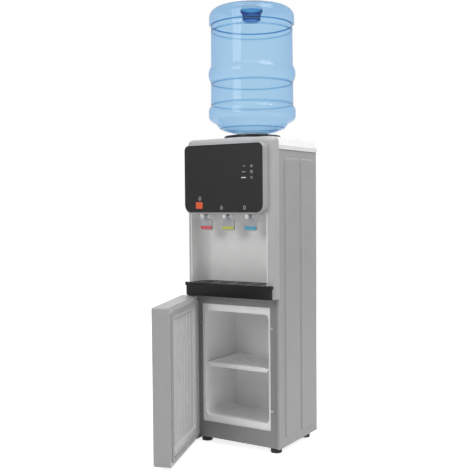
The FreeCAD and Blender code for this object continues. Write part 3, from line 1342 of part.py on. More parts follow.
def fan_frame():
    """Square fan frame with a round bore, three struts and the rotor's pin."""
    half = FAN_SIZE / 2
    frame = rounded_box(-half, half, FAN_Y, REAR_FLANGE_Y, COOLER_Z - half, COOLER_Z + half, FAN_STRUT,
                        Y_AXIS)
    frame = frame.cut(rod(0, FAN_Y - 1, COOLER_Z, FAN_BORE_R, FAN_DEPTH + 2, Y_AXIS))
    boss_y = REAR_FLANGE_Y - FAN_BOSS_T
    boss = rod(0, boss_y, COOLER_Z, FAN_HUB_R, FAN_BOSS_T, Y_AXIS)
    pin = rod(0, FAN_Y + FAN_BOSS_T, COOLER_Z, FAN_PIN_R, boss_y - FAN_Y, Y_AXIS)
    struts = []
    for index in range(FAN_STRUTS):
        strut = box(0, FAN_BORE_R + 1, boss_y, REAR_FLANGE_Y, COOLER_Z - FAN_STRUT / 2,
                    COOLER_Z + FAN_STRUT / 2)
        strut.rotate(V(0, 0, COOLER_Z), Y_AXIS, FAN_STRUT_TURN + 360 / FAN_STRUTS * index)
        struts.append(strut)
    return union([frame, boss, pin] + struts)


def fan_rotor():
    """Hub cup with pitched blades, running on the frame's pin."""
    y0 = FAN_Y + FAN_ROTOR_GAP
    y1 = REAR_FLANGE_Y - FAN_BOSS_T - FAN_ROTOR_GAP
    hub = rod(0, y0, COOLER_Z, FAN_HUB_R, y1 - y0, Y_AXIS)
    blades = []
    middle = (y0 + y1) / 2
    for index in range(FAN_BLADES):
        blade = box(FAN_HUB_R - 1, FAN_BORE_R, middle - FAN_BLADE_T / 2, middle + FAN_BLADE_T / 2,
                    COOLER_Z - FAN_BLADE_CHORD / 2, COOLER_Z + FAN_BLADE_CHORD / 2)
        blade.rotate(V(0, middle, COOLER_Z), X_AXIS, FAN_BLADE_PITCH)
        blade.rotate(V(0, 0, COOLER_Z), Y_AXIS, 360 * index / FAN_BLADES)
        blades.append(blade)
    sweep = rod(0, y0, COOLER_Z, FAN_BORE_R - FAN_TIP_GAP, y1 - y0, Y_AXIS)
    bore = rod(0, y0 + FAN_HUB_WALL, COOLER_Z, FAN_PIN_R + RUN_FIT, y1 - y0, Y_AXIS)
    return union([hub] + [blade.common(sweep) for blade in blades]).cut(bore)


# Rear switches, power inlet and screws

def switch_body(x):
    """Switch housing through the rear panel, hollow for its rocker."""
    half_w = SWITCH_WIDTH / 2
    half_h = SWITCH_HEIGHT / 2
    case = box(x - half_w, x + half_w, REAR - SWITCH_DEPTH, REAR, SWITCH_Z - half_h, SWITCH_Z + half_h)
    rim = SWITCH_RIM
    flange = box(x - half_w - rim, x + half_w + rim, REAR, REAR + SWITCH_FLANGE, SWITCH_Z - half_h - rim,
                 SWITCH_Z + half_h + rim)
    hollow = box(x - half_w + rim, x + half_w - rim, REAR - SWITCH_DEPTH + rim, REAR + SWITCH_FLANGE + 1,
                 SWITCH_Z - half_h + rim, SWITCH_Z + half_h - rim)
    pin = rod(x - half_w + rim / 2, REAR, SWITCH_Z, ROCKER_PIVOT_R / 2, SWITCH_WIDTH - rim, X_AXIS)
    return union([union([case, flange]).cut(hollow), pin])


def rocker(x):
    """Rocker with a hollowed face, tipped to its off side."""
    half_w = SWITCH_WIDTH / 2 - SWITCH_RIM - ROCKER_GAP / 2
    half_h = SWITCH_HEIGHT / 2 - SWITCH_RIM - ROCKER_GAP
    face = REAR + ROCKER_RISE
    outline = [V(0, REAR - ROCKER_PIVOT_R, -ROCKER_PIVOT_R), V(0, REAR, -half_h), V(0, face, -half_h + 1),
               V(0, face - 1, 0), V(0, face, half_h - 1), V(0, REAR, half_h),
               V(0, REAR - ROCKER_PIVOT_R, ROCKER_PIVOT_R)]
    key = Part.Face(Part.makePolygon(outline + outline[:1])).extrude(V(2 * half_w, 0, 0))
    key.translate(V(x - half_w, 0, SWITCH_Z))
    key = key.cut(rod(x - half_w - 1, REAR, SWITCH_Z, ROCKER_PIVOT_R / 2 + RUN_FIT, 2 * half_w + 2, X_AXIS))
    key.rotate(V(x, REAR, SWITCH_Z), X_AXIS, ROCKER_TILT)
    return key


def power_inlet():
    """Recessed three-pin inlet through the rear panel."""
    width, height = INLET_SIZE
    half_w = width / 2
    half_h = height / 2
    case = box(INLET_X - half_w, INLET_X + half_w, REAR - INLET_DEPTH, REAR, INLET_Z - half_h,
               INLET_Z + half_h)
    rim = INLET_FLANGE
    flange = rounded_box(INLET_X - half_w - rim, INLET_X + half_w + rim, REAR, REAR + INLET_FLANGE_T,
                         INLET_Z - half_h - rim, INLET_Z + half_h + rim, rim, Y_AXIS)
    wall = INLET_WALL
    floor = REAR - INLET_DEPTH + wall
    hollow = rounded_box(INLET_X - half_w + wall, INLET_X + half_w - wall, floor, REAR + INLET_FLANGE_T + 1,
                         INLET_Z - half_h + wall, INLET_Z + half_h - wall, wall, Y_AXIS,
                         lambda c: c.z > INLET_Z)
    pin_w, pin_h, pin_length = INLET_PIN
    pins = [box(INLET_X + step * INLET_PIN_PITCH - pin_w / 2, INLET_X + step * INLET_PIN_PITCH + pin_w / 2,
                floor - 1,
                floor + pin_length, INLET_Z - pin_h / 2 + lift, INLET_Z + pin_h / 2 + lift)
            for step, lift in zip((-1, 0, 1), INLET_PIN_LIFTS)]
    return union([union([case, flange]).cut(hollow)] + pins)


def screw(x, y, z, outward):
    """Pan-head screw whose head stands on a face at y; outward is the way the head points."""
    head = rod(x, y, z, SCREW_HEAD_R, SCREW_HEAD_H, Y_AXIS * outward)
    head = round_loop(head, SCREW_HEAD_H / 3, lambda edge: depth_edge(edge, y + outward * SCREW_HEAD_H))
    return union([head, rod(x, y, z, SCREW_SHANK_R - RUN_FIT, SCREW_SHANK_LENGTH, Y_AXIS * -outward)])


def screws():
    rear = [screw(x, REAR, z, 1) for x, z in rear_screw_places()]
    front = [screw(x, FRAME_FRONT, z, -1) for x, z in frame_screw_places()]
    return group(rear + front)


def build():
    right_panel = side_panel()
    parts = {
        "side_panel_right": right_panel, "side_panel_left": mirrored(right_panel),
             "rear_panel": rear_panel(),
        "base_plate": base_plate(), "feet": feet(), "tank_deck": tank_deck(), "tank_shelf": tank_shelf(),
        "front_housing": front_housing(), "alcove_panel": alcove_panel(), "head_housing": head_housing(),
        "control_fascia": control_fascia(), "lock_button": lock_button(), "control_board": control_board(),
        "top_cover": top_cover(), "bottle_well": bottle_well(), "bottle_collar": bottle_collar(),
        "water_probe": water_probe(), "bottle": bottle(), "bottle_cap": bottle_cap(),
        "lower_frame": lower_frame(), "cabinet_liner": cabinet_liner(), "shelf": shelf(),
        "door_shell": swung(door_shell()), "door_liner": swung(door_liner()),
             "door_gasket": swung(door_gasket()),
        "hinge_bushes": hinge_bushes(), "hinge_brackets": hinge_brackets(),
        "drip_tray": drip_tray(), "drip_grille": drip_grille(),
        "tap_nozzles": group([nozzle(x) for x in TAP_X]),
        "cold_tank": cold_tank(), "cold_tank_jacket": cold_tank_jacket(),
             "tank_separator": tank_separator(),
        "hot_tank": hot_tank(), "hot_tank_jacket": hot_tank_jacket(), "band_heater": band_heater(),
        "thermostats": thermostats(), "water_tubes": water_tubes(), "drain_cap": drain_cap(),
        "cold_block": cold_block(), "cooling_module": cooling_module(), "heat_sink": heat_sink(),
        "fan_frame": fan_frame(), "fan_rotor": fan_rotor(),
        "switch_bodies": group([switch_body(x) for x in SWITCH_X]),
        "power_inlet": power_inlet(), "screws": screws(),
    }
    for name, x in zip(("hot", "room", "cold"), TAP_X):
        parts[name + "_tap"] = tap(x)
        parts[name + "_lever"] = lever(x)
        parts[name + "_tab"] = tab(x)
    for name, x in zip(("hot", "cold"), SWITCH_X):
        parts[name + "_rocker"] = rocker(x)
    return parts


os.makedirs("parts", exist_ok=True)
for node, shape in build().items():
    shape.exportStep("parts/" + node + ".step")
    print(node, len(shape.Solids), shape.isValid(), round(shape.Volume))
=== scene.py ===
import cmath
import json
import math

import bmesh
import bpy
from mathutils import Matrix, Vector


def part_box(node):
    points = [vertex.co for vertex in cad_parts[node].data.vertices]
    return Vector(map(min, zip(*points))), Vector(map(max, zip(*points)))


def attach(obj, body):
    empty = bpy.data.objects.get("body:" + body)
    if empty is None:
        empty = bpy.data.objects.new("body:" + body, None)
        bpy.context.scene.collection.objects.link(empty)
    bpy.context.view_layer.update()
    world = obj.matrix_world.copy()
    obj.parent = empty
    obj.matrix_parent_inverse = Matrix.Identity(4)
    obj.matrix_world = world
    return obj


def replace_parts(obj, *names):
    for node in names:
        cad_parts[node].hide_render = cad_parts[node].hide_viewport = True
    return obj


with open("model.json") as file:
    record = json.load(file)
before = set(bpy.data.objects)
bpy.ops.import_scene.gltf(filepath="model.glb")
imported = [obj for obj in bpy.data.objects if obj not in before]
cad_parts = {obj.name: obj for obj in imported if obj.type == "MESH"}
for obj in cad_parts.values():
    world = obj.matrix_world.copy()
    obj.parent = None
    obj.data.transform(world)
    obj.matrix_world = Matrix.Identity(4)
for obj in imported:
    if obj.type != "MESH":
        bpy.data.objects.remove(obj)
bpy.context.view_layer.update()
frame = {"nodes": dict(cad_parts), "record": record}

nodes = frame["nodes"]


def metres(millimetres):
    return millimetres / 1000


def tint(red, green, blue):
    """An sRGB colour in 0 to 255 as the linear colour a shader socket takes."""
    channels = []
    for value in (red, green, blue):
        share = value / 255
        channels.append(share / 12.92 if share <= 0.04045 else ((share + 0.055) / 1.055) ** 2.4)
    return (*channels, 1.0)


def shade(colour, factor):
    """The colour made lighter or darker by a factor."""
    return (*(min(1.0, channel * factor) for channel in colour[:3]), 1.0)


# Materials, with their lengths in metres

NOISE_LOW = 0.3
NOISE_HIGH = 0.7
PATCH_DETAIL = 4.0
GLOSS_DETAIL = 2.0
GRAIN_DETAIL = 3.0
GLOSS_PATCH_SHARE = 1 / 3
GLOSS_SPREAD = 0.12

finishes = {}


def set_sockets(node, values):
    """Sets a shader node's own sockets by name."""
    for socket, value in values.items():
        node.inputs[socket].default_value = value


def shader_of(material):
    return material.node_tree.nodes["Principled BSDF"]


def noise(tree, place, size, detail):
    """Soft noise whose patches are about size metres across."""
    node = tree.nodes.new("ShaderNodeTexNoise")
    set_sockets(node, {"Scale": 1 / size, "Detail": detail})
    tree.links.new(place, node.inputs["Vector"])
    return node.outputs["Fac"]


def spread(tree, fac, low, high):
    """The noise's middle stretched to run from low to high."""
    node = tree.nodes.new("ShaderNodeMapRange")
    set_sockets(node, {"From Min": NOISE_LOW, "From Max": NOISE_HIGH, "To Min": low, "To Max": high})
    tree.links.new(fac, node.inputs["Value"])
    return node.outputs["Result"]


def finish_of(name, colour, rough, mottle=0.03, patch=0.06, grain=0.0008, relief=0.02,
              metallic=0.0, stretch=None, sheen=0.5):
    """A moulded, painted or metal surface: patchy colour and gloss, with a fine grain in its relief."""
    material = bpy.data.materials.new(name)
    material.use_nodes = True
    tree = material.node_tree
    shader = shader_of(material)
    set_sockets(shader, {"Metallic": metallic, "Specular IOR Level": sheen})
    place = tree.nodes.new("ShaderNodeTexCoord").outputs["Object"]
    if stretch:
        mapping = tree.nodes.new("ShaderNodeMapping")
        set_sockets(mapping, {"Scale": stretch})
        tree.links.new(place, mapping.inputs["Vector"])
        place = mapping.outputs["Vector"]
    mix = tree.nodes.new("ShaderNodeMix")
    mix.data_type = "RGBA"
    set_sockets(mix, {"A": shade(colour, 1 - mottle), "B": shade(colour, 1 + mottle)})
    colour_patches = noise(tree, place, patch, PATCH_DETAIL)
    tree.links.new(spread(tree, colour_patches, 0.0, 1.0), mix.inputs["Factor"])
    tree.links.new(mix.outputs["Result"], shader.inputs["Base Color"])
    gloss_patches = noise(tree, place, patch * GLOSS_PATCH_SHARE, GLOSS_DETAIL)
    smoothest = rough * (1 - GLOSS_SPREAD)
    roughest = min(1.0, rough * (1 + GLOSS_SPREAD))
    tree.links.new(spread(tree, gloss_patches, smoothest, roughest), shader.inputs["Roughness"])
    bump = tree.nodes.new("ShaderNodeBump")
    set_sockets(bump, {"Strength": relief, "Distance": grain})
    tree.links.new(noise(tree, place, grain, GRAIN_DETAIL), bump.inputs["Height"])
    tree.links.new(bump.outputs["Normal"], shader.inputs["Normal"])
    finishes[name] = material
    return material


def clear_of(name, colour, rough, share, ior=1.5, gloss=0.0, **more):
    """A see-through moulding: share is the part of the light that passes, gloss the weight of its coat."""
    material = finish_of(name, colour, rough, **more)
    set_sockets(shader_of(material), {"Transmission Weight": share, "IOR": ior, "Coat Weight": gloss})
    return material


def absorb(material, colour, density):
    """Gives a clear moulding a body colour that deepens with the length of wall the light crosses."""
    tree = material.node_tree
    volume = tree.nodes.new("ShaderNodeVolumeAbsorption")
    set_sockets(volume, {"Color": colour, "Density": density})
    tree.links.new(volume.outputs["Volume"], tree.nodes["Material Output"].inputs["Volume"])


# Cabinet and door
finish_of("side_paint", tint(156, 156, 156), 0.34, grain=0.0012, relief=0.05)
finish_of("zinc_steel", tint(150, 152, 154), 0.45, mottle=0.10, patch=0.02, metallic=0.8)
finish_of("silver_plastic", tint(178, 178, 178), 0.36, grain=0.0006, relief=0.03, sheen=0.4)
# A darker copy of silver_plastic: painted shade on the head and door fronts, which are the same silver
# moulding
finish_of("silver_painted_shade", tint(166, 166, 166), 0.36, grain=0.0006, relief=0.03, sheen=0.4)
finish_of("pale_plastic", tint(236, 236, 235), 0.50, grain=0.0009, relief=0.06)
finish_of("cover_plastic", tint(230, 230, 231), 0.32)
finish_of("liner_white", tint(246, 246, 246), 0.5, grain=0.0009, relief=0.05, sheen=0.3)
# A greyer copy of the liner's white: painted shade on the door's inner face
finish_of("door_liner", tint(206, 206, 206), 0.5, grain=0.0009, relief=0.05, sheen=0.3)
finish_of("frame_plastic", tint(136, 136, 136), 0.45, grain=0.0009, relief=0.06)
finish_of("seal_rubber", tint(166, 166, 166), 0.6, relief=0.06)
finish_of("soft_rubber", tint(38, 38, 40), 0.7, mottle=0.10, relief=0.1)

# Head, taps, drip tray and collar
finish_of("black_gloss", tint(30, 30, 31), 0.36, mottle=0.06, relief=0.05, sheen=0.25)
finish_of("dark_plastic", tint(18, 18, 19), 0.25, mottle=0.08, grain=0.0009, relief=0.04, sheen=0.25)
finish_of("orange_plastic", tint(224, 92, 44), 0.35)
finish_of("white_plastic", tint(236, 236, 234), 0.32)
clear_of("lever_grey", tint(205, 208, 212), 0.15, share=0.55)
finish_of("tab_red", tint(216, 88, 94), 0.3)
finish_of("tab_green", tint(196, 202, 98), 0.3)
finish_of("tab_cyan", tint(72, 164, 198), 0.3)
finish_of("mark_print", tint(150, 156, 160), 0.5)
finish_of("lit_lamp", tint(235, 238, 240), 0.4)

# Bottle
thin_wall = clear_of("bottle_blue", tint(214, 234, 246), 0.03, share=1.0, ior=1.03, gloss=0.4,
                     mottle=0.01, relief=0.004)
absorb(thin_wall, tint(120, 178, 222), density=75.0)
# Deep blue far stronger than the wall's: painted shade for the beads at the grooves and creases and for the
# dimple's wall
painted_shade_wall = clear_of("bottle_painted_shade", tint(225, 238, 248), 0.03, share=1.0, ior=1.1,
                      mottle=0.01, relief=0.004)
absorb(painted_shade_wall, tint(0, 200, 233), density=620.0)
finish_of("cap_plastic", tint(70, 120, 185), 0.35)

# Tanks, cooling, board and rear switches
finish_of("stainless", tint(190, 191, 190), 0.28, metallic=1.0, stretch=(1, 1, 12))
finish_of("foam", tint(232, 228, 214), 0.9, grain=0.003, relief=0.4)
clear_of("silicone", tint(228, 228, 222), 0.25, share=0.5)
finish_of("board_green", tint(28, 96, 58), 0.4)
finish_of("ceramic", tint(238, 238, 234), 0.5)
finish_of("cast_aluminium", tint(190, 192, 194), 0.4, metallic=1.0)
finish_of("black_plastic", tint(34, 34, 36), 0.5, relief=0.06)
finish_of("rocker_red", tint(200, 40, 36), 0.3)
finish_of("rocker_green", tint(50, 150, 70), 0.3)

# Nodes with a finish other than their slot's
OWN_FINISH = {
    "cabinet_liner": "liner_white",
    "shelf": "liner_white",
    # The head and door take the darker copy of the silver as painted shade
    "head_housing": "silver_painted_shade",
    "door_shell": "silver_painted_shade",
    # The door liner's greyer white is painted shade
    "door_liner": "door_liner",
}
for part in frame["record"]["subparts"]:
    mesh = nodes[part["node"]].data
    mesh.materials.clear()
    mesh.materials.append(finishes[OWN_FINISH.get(part["node"], part["material_slot"])])


# Pieces

CREASE = math.radians(30)


def shown(name, data):
    """A new object in the scene for a mesh, a lamp or a camera."""
    item = bpy.data.objects.new(name, data)
    bpy.context.scene.collection.objects.link(item)
    return item


def shown_mesh(name, form, material):
    """A finished bmesh as an object of one material."""
    mesh = bpy.data.meshes.new(name)
    form.to_mesh(mesh)
    form.free()
    mesh.materials.append(material)
    return shown(name, mesh)


def mesh_piece(name, form, finish, body):
    """A piece that rides a body, smooth but for edges sharper than the crease."""
    piece = shown_mesh(name, form, finishes[finish])
    piece.data.polygons.foreach_set("use_smooth", [True] * len(piece.data.polygons))
    piece.data.set_sharp_from_angle(angle=CREASE)
    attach(piece, body)
    return piece


# Bottle, turned from its outline; radii and rises over its seat in millimetres

NECK_RADIUS = 27.5
NECK_DROP = 72.0
SEAT_RADIUS = 37.0
BODY_RADIUS = 129.8
BODY_DRAFT = 2.3
BAND_RADIUS = 136.8
RIM_RADIUS = 133.6
BASE = 390.0
BOTTLE_WALL = 1.6
BOTTLE_STEPS = 144
WELD = 0.001

# The outline's turns upwards from the seat; an arc has its middle point, its end and its count of steps
BOWL_ARC = ((84.0, 8.0), (98.6, 14.5), 14)
BOWL_LEDGE = (100.4, 14.7)
BOWL_SIDE_ARC = ((106.4, 21.5), (112.0, 30.0), 8)
STEP_TOP = (128.5, 39.5)
LOW_BAND_ARC = ((134.1, 45.8), (BAND_RADIUS, 54.0), 8)
LOW_BAND_TOP = 70.5
BODY_FOOT = 86.0
BODY_FOOT_MIDDLE = (135.0, 78.9)
BODY_FOOT_STEPS = 8
LOW_GROOVE = 91.0
MIDDLE_GROOVE = 156.5
TOP_GROOVE = 320.0
GROOVE_HALF = 2.5
SWELL_STEPS = 16
RIM_FOOT = 334.9
RIM_START = 341.0
BASE_ROUND = 30.0
BASE_ROUND_MIDDLE = 8.8
BASE_ROUND_STEPS = 14
PUNT_RADIUS = 88.0
PUNT_FOOT = (34.0, BASE - 3.0)
PUNT_ARC = ((66.0, BASE - 2.0), PUNT_FOOT, 10)
DIMPLE_FLOOR = BASE - 34.0
DIMPLE_ARC = ((26.0, BASE - 16.0), (24.0, DIMPLE_FLOOR), 8)
FLAT_MARGIN = 1.2
LONG_RUN = 9.6

# The bottle's axis and seat in metres, from the frame
bottle_low, bottle_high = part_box("bottle")
BOTTLE_Y = (bottle_low.y + bottle_high.y) / 2
SEAT_Z = bottle_high.z - metres(BASE)


def groove(rise, radius):
    return (rise - GROOVE_HALF, rise + GROOVE_HALF, radius)


# Grooves and the middle band, upwards: lower end, upper end and radius halfway
SWELLS = (
    groove(LOW_GROOVE, 127.6),
    groove(MIDDLE_GROOVE, 127.2),
    (161.0, 210.0, BAND_RADIUS),
    groove(TOP_GROOVE, 125.8),
)


def sampled_arc(start, middle, finish, count):
    """Points after start on the arc through three points."""
    start, middle, finish = complex(*start), complex(*middle), complex(*finish)
    ratio = (finish - start) / (middle - start)
    centre = start + (middle - start) * (ratio - abs(ratio) ** 2) / (ratio - ratio.conjugate())
    spoke = start - centre
    sweep = cmath.phase((finish - centre) / spoke)
    points = [centre + spoke * cmath.rect(1, sweep * step / count) for step in range(1, count + 1)]
    return [(point.real, point.imag) for point in points]


def held_flat(line):
    """The outline with points near both ends of its long straight runs, which keep their shading flat."""
    held = line[:1]
    for start, finish in zip(line, line[1:]):
        length = math.dist(start, finish)
        if length > LONG_RUN:
            for share in (FLAT_MARGIN / length, 1 - FLAT_MARGIN / length):
                held.append(tuple(a + (b - a) * share for a, b in zip(start, finish)))
        held.append(finish)
    return held


def body_wall(rise):
    """The tapered body's outer point at a rise."""
    return (BODY_RADIUS - BODY_DRAFT * (rise - BODY_FOOT) / (BASE - BODY_FOOT), rise)


def bottle_outline():
    """The outer outline from the mouth over the shoulder, bands and base to the axis."""
    line = [(NECK_RADIUS, -NECK_DROP), (NECK_RADIUS, 0.0), (SEAT_RADIUS, 0.0)]

    def arc(middle, finish, count):
        line.extend(sampled_arc(line[-1], middle, finish, count))

    arc(*BOWL_ARC)
    line.append(BOWL_LEDGE)
    arc(*BOWL_SIDE_ARC)
    line.append(STEP_TOP)
    arc(*LOW_BAND_ARC)
    line.append((BAND_RADIUS, LOW_BAND_TOP))
    arc(BODY_FOOT_MIDDLE, body_wall(BODY_FOOT), BODY_FOOT_STEPS)
    for low, high, radius in SWELLS:
        line.append(body_wall(low))
        arc((radius, (low + high) / 2), body_wall(high), SWELL_STEPS)
    line.append(body_wall(RIM_FOOT))
    line.append((RIM_RADIUS, RIM_START))
    line.append((RIM_RADIUS, BASE - BASE_ROUND))
    arc((RIM_RADIUS - BASE_ROUND_MIDDLE, BASE - BASE_ROUND_MIDDLE), (RIM_RADIUS - BASE_ROUND, BASE),
        BASE_ROUND_STEPS)
    line.append((PUNT_RADIUS, BASE))
    arc(*PUNT_ARC)
    arc(*DIMPLE_ARC)
    line.append((0.0, DIMPLE_FLOOR))
    return held_flat(line)


def drawn_in(line, depth):
    """The outline moved inwards by depth along its own normal."""
    moved = []
    for index, (radius, rise) in enumerate(line):
        before = line[max(index - 1, 0)]
        after = line[min(index + 1, len(line) - 1)]
        along = Vector((after[0] - before[0], after[1] - before[1])).normalized()
        moved.append((max(radius - along.y * depth, 0.0), rise + along.x * depth))
    moved[0] = (line[0][0] - depth, line[0][1])
    moved[-1] = (0.0, moved[-1][1])
    return moved


def turned(lines, closed):
    """A form spun about the bottle's axis from lines that end on the axis or close on themselves."""
    form = bmesh.new()
    for line in lines:
        points = [form.verts.new((metres(radius), BOTTLE_Y, SEAT_Z + metres(rise))) for radius, rise in line]
        followers = points[1:] + points[:1] if closed else points[1:]
        for pair in zip(points, followers):
            form.edges.new(pair)
    bmesh.ops.spin(form, geom=form.verts[:] + form.edges[:], cent=(0, BOTTLE_Y, 0), axis=(0, 0, 1),
                   dvec=(0, 0, 0), angle=math.tau, steps=BOTTLE_STEPS, use_merge=True)
    bmesh.ops.remove_doubles(form, verts=form.verts[:], dist=metres(WELD))
    bmesh.ops.recalc_face_normals(form, faces=form.faces[:])
    return form


def bottle():
    outer = bottle_outline()
    form = turned([outer[::-1] + drawn_in(outer, BOTTLE_WALL)], closed=False)
    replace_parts(mesh_piece("bottle_clear", form, "bottle_blue", "bottle"), "bottle")


# Beads along the wall's inside at the grooves and creases, deep blue as painted shade: radius, rise, width
# and height
BEADS = (
    (99.0, 17.0, 1.4, 2.4),
    (125.6, LOW_GROOVE, 1.3, 2.2),
    (125.3, MIDDLE_GROOVE, 1.3, 2.8),
    (123.7, TOP_GROOVE, 1.3, 2.2),
    (125.7, 337.0, 2.2, 4.4),
)
DIMPLE_SKIN = 2.4
DIMPLE_GAP = 0.4


def bottle_beads():
    loops = []
    for radius, rise, width, height in BEADS:
        low = rise - height / 2
        high = rise + height / 2
        loops.append([(radius, low), (radius + width, low), (radius + width, high), (radius, high)])
    mesh_piece("bottle_beads", turned(loops, closed=True), "bottle_painted_shade", "bottle")


def bottle_dimple():
    """The thick wall round the dimple in the bottle's base, open at the middle of the dimple's floor; its
    deep blue is painted shade.
    """
    line = bottle_outline()
    start = min(range(len(line)), key=lambda index: math.dist(line[index], PUNT_FOOT))
    depth = BOTTLE_WALL + DIMPLE_GAP
    near = drawn_in(line, depth)[start:-2]
    far = drawn_in(line, depth + DIMPLE_SKIN)[start:-2]
    form = turned([near + far[::-1]], closed=True)
    mesh_piece("bottle_dimple", form, "bottle_painted_shade", "bottle")


bottle()
bottle_beads()
bottle_dimple()


# Marks on the fascia's front; x, z and sizes in millimetres, and the front itself in metres from the frame

FASCIA_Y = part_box("control_fascia")[0].y
MARK_RISE = 0.3
DROPS = ((-81.0, 769.7), (-3.0, 742.2), (77.0, 742.6))
DROP_HEIGHT = 14.0
DROP_HALF_WIDTH = 5.88
DROP_LINE = 2.2
DROP_STEPS = 24

# Indicator lamps from the top: x, z and length; the lowest is lit
INDICATORS = ((76.5, 862.5, 8.0), (75.8, 845.6, 13.0), (74.8, 829.0, 16.0))
INDICATOR_WIDTH = 2.2
LIT_WIDTH = 2.6

# Symbols beside the lamps: bars crossed in the middle, or rows of bars where there is none to cross
SYMBOL_X = 102.0
CROSSED_BARS = (3, 0, 2)
CROSSED_LENGTH = 10.0
CROSSED_WIDTH = 1.6
ROW_PITCH = 3.6
ROW_LENGTH = 9.0
ROW_WIDTH = 1.8


def flat_face(form, outline):
    """A face on the fascia through (x, z) points, given anticlockwise as the front shows them."""
    return form.faces.new([form.verts.new((metres(x), FASCIA_Y, metres(z))) for x, z in outline])


def bar_face(form, x, z, length, width, turn=0.0):
    """A bar centred at x and z, turned from level."""
    along = Vector((math.cos(turn), math.sin(turn))) * length / 2
    across = Vector((-math.sin(turn), math.cos(turn))) * width / 2
    corners = (-along - across, along - across, along + across, across - along)
    return flat_face(form, [(x + corner.x, z + corner.y) for corner in corners])


def drop_ring(form, x, z):
    """A drop drawn as a line, pointed at the top."""
    outline = []
    for step in range(DROP_STEPS):
        turn = math.tau * step / DROP_STEPS
        reach = DROP_HALF_WIDTH * math.sin(turn) * math.sin(turn / 2)
        outline.append((x - reach, z + DROP_HEIGHT / 2 * math.cos(turn)))
    face = flat_face(form, outline)
    form.normal_update()
    bmesh.ops.inset_individual(form, faces=[face], thickness=metres(DROP_LINE))
    bmesh.ops.delete(form, geom=[face], context="FACES")


def symbol(form, z, bars):
    """The crossed bars, or else the rows, beside the lamp at z."""
    for bar in range(bars):
        bar_face(form, SYMBOL_X, z, CROSSED_LENGTH, CROSSED_WIDTH, math.pi * (bar + 0.5) / bars)
    if not bars:
        for row in (-1, 0, 1):
            bar_face(form, SYMBOL_X, z + ROW_PITCH * row, ROW_LENGTH, ROW_WIDTH)


def raised(form):
    """The flat marks given their small thickness towards the front."""
    lifted = bmesh.ops.extrude_face_region(form, geom=form.faces[:])
    moved = [item for item in lifted["geom"] if isinstance(item, bmesh.types.BMVert)]
    bmesh.ops.translate(form, verts=moved, vec=(0, -metres(MARK_RISE), 0))
    bmesh.ops.recalc_face_normals(form, faces=form.faces[:])
    return form


def fascia_marks():
    """A drop over each tap, the unlit lamps and the symbol beside every lamp."""
    form = bmesh.new()
    for x, z in DROPS:
        drop_ring(form, x, z)
    for (_, z, _), bars in zip(INDICATORS, CROSSED_BARS):
        symbol(form, z, bars)
    for x, z, length in INDICATORS[:-1]:
        bar_face(form, x, z, length, INDICATOR_WIDTH)
    mesh_piece("fascia_marks", raised(form), "mark_print", "cabinet")


def lit_lamp():
    form = bmesh.new()
    x, z, length = INDICATORS[-1]
    bar_face(form, x, z, length, LIT_WIDTH)
    mesh_piece("lit_lamp", raised(form), "lit_lamp", "cabinet")


fascia_marks()
lit_lamp()


# Floor, backdrop, light and camera; places in metres, lens and sensor in millimetres

AMBIENT = 0.34
WHITE = (1, 1, 1, 1)
FLOOR_SIZE = 60.0
FLOOR_GLOW = 0.74
CAMERA_PLACE = (1.2892, -2.1698, 0.7612)
CAMERA_YAW = math.radians(32.144)
CAMERA_PITCH = math.radians(2.467)
CAMERA_ROLL = math.radians(-0.478)
CAMERA_LENS = 60.80
CAMERA_SENSOR = 36.0
CAMERA_REACH = 200.0


def backdrop_rays(tree):
    """Light Path's answer for rays that show the background: camera, glossy and transmission rays."""
    path = tree.nodes.new("ShaderNodeLightPath")
    seen = path.outputs["Is Camera Ray"]
    for ray in ("Is Glossy Ray", "Is Transmission Ray"):
        either = tree.nodes.new("ShaderNodeMath")
        either.operation = "MAXIMUM"
        tree.links.new(seen, either.inputs[0])
        tree.links.new(path.outputs[ray], either.inputs[1])
        seen = either.outputs["Value"]
    return seen


def backdrop():
    """A world that shows white and lights the object at the ambient level."""
    world = bpy.data.worlds.new("studio")
    world.use_nodes = True
    tree = world.node_tree
    background = tree.nodes["Background"]
    set_sockets(background, {"Color": WHITE})
    level = tree.nodes.new("ShaderNodeMapRange")
    set_sockets(level, {"To Min": AMBIENT, "To Max": 1.0})
    tree.links.new(backdrop_rays(tree), level.inputs["Value"])
    tree.links.new(level.outputs["Result"], background.inputs["Strength"])
    bpy.context.scene.world = world


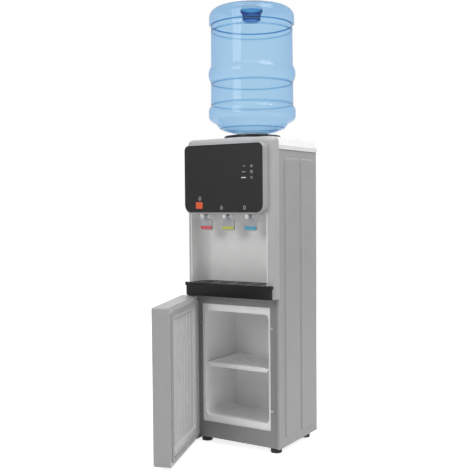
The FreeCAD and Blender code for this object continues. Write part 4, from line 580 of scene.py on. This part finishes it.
def floor():
    """A pale floor that keeps the object's shadow; only rays that show the background see it glow."""
    material = bpy.data.materials.new("pale_floor")
    material.use_nodes = True
    tree = material.node_tree
    shader = shader_of(material)
    set_sockets(shader, {"Base Color": tint(232, 232, 232), "Roughness": 0.9, "Specular IOR Level": 0.0,
                         "Emission Color": WHITE})
    level = tree.nodes.new("ShaderNodeMath")
    level.operation = "MULTIPLY"
    level.inputs[1].default_value = FLOOR_GLOW
    tree.links.new(backdrop_rays(tree), level.inputs[0])
    tree.links.new(level.outputs["Value"], shader.inputs["Emission Strength"])
    form = bmesh.new()
    bmesh.ops.create_grid(form, x_segments=1, y_segments=1, size=FLOOR_SIZE / 2)
    shown_mesh("floor", form, material)


def lamp(name, place, aim, width, height, watts, mirrored=True):
    """A soft panel of light, never seen through a clear piece; mirrored lets gloss reflect it as a streak."""
    light = bpy.data.lights.new(name, "AREA")
    light.shape = "RECTANGLE"
    light.size = width
    light.size_y = height
    light.energy = watts
    stand = shown(name, light)
    stand.location = place
    stand.rotation_euler = (Vector(aim) - Vector(place)).to_track_quat("-Z", "Y").to_euler()
    stand.visible_transmission = False
    stand.visible_glossy = mirrored


def camera():
    """A level view turned by yaw, dipped by pitch and then rolled about its own line of sight."""
    level = math.cos(CAMERA_PITCH)
    forward = Vector((-math.sin(CAMERA_YAW) * level, math.cos(CAMERA_YAW) * level, -math.sin(CAMERA_PITCH)))
    side = Vector((math.cos(CAMERA_YAW), math.sin(CAMERA_YAW), 0))
    top = side.cross(forward)
    across = math.cos(CAMERA_ROLL) * side + math.sin(CAMERA_ROLL) * top
    upward = math.cos(CAMERA_ROLL) * top - math.sin(CAMERA_ROLL) * side
    data = bpy.data.cameras.new("camera")
    data.sensor_fit = "HORIZONTAL"
    data.sensor_width = CAMERA_SENSOR
    data.lens = CAMERA_LENS
    data.clip_end = CAMERA_REACH
    view = shown("camera", data)
    turn = Matrix((across, upward, -forward)).transposed().to_4x4()
    view.matrix_world = Matrix.Translation(CAMERA_PLACE) @ turn
    bpy.context.scene.camera = view


backdrop()
floor()
lamp("front", place=(-0.5, -2.8, 1.8), aim=(0, -0.1, 0.6), width=1.2, height=1.2, watts=23)
lamp("right", place=(1.6, -0.4, 3.0), aim=(0, 0, 0.7), width=1.4, height=1.4, watts=45)
lamp("over", place=(0.1, -0.4, 3.0), aim=(0, 0, 0.9), width=1.6, height=1.6, watts=16)
lamp("back", place=(0.2, 2.6, 2.3), aim=(0, 0, 0.8), width=2.2, height=1.2, watts=18, mirrored=False)
camera()
bpy.context.scene.view_settings.view_transform = "Standard"
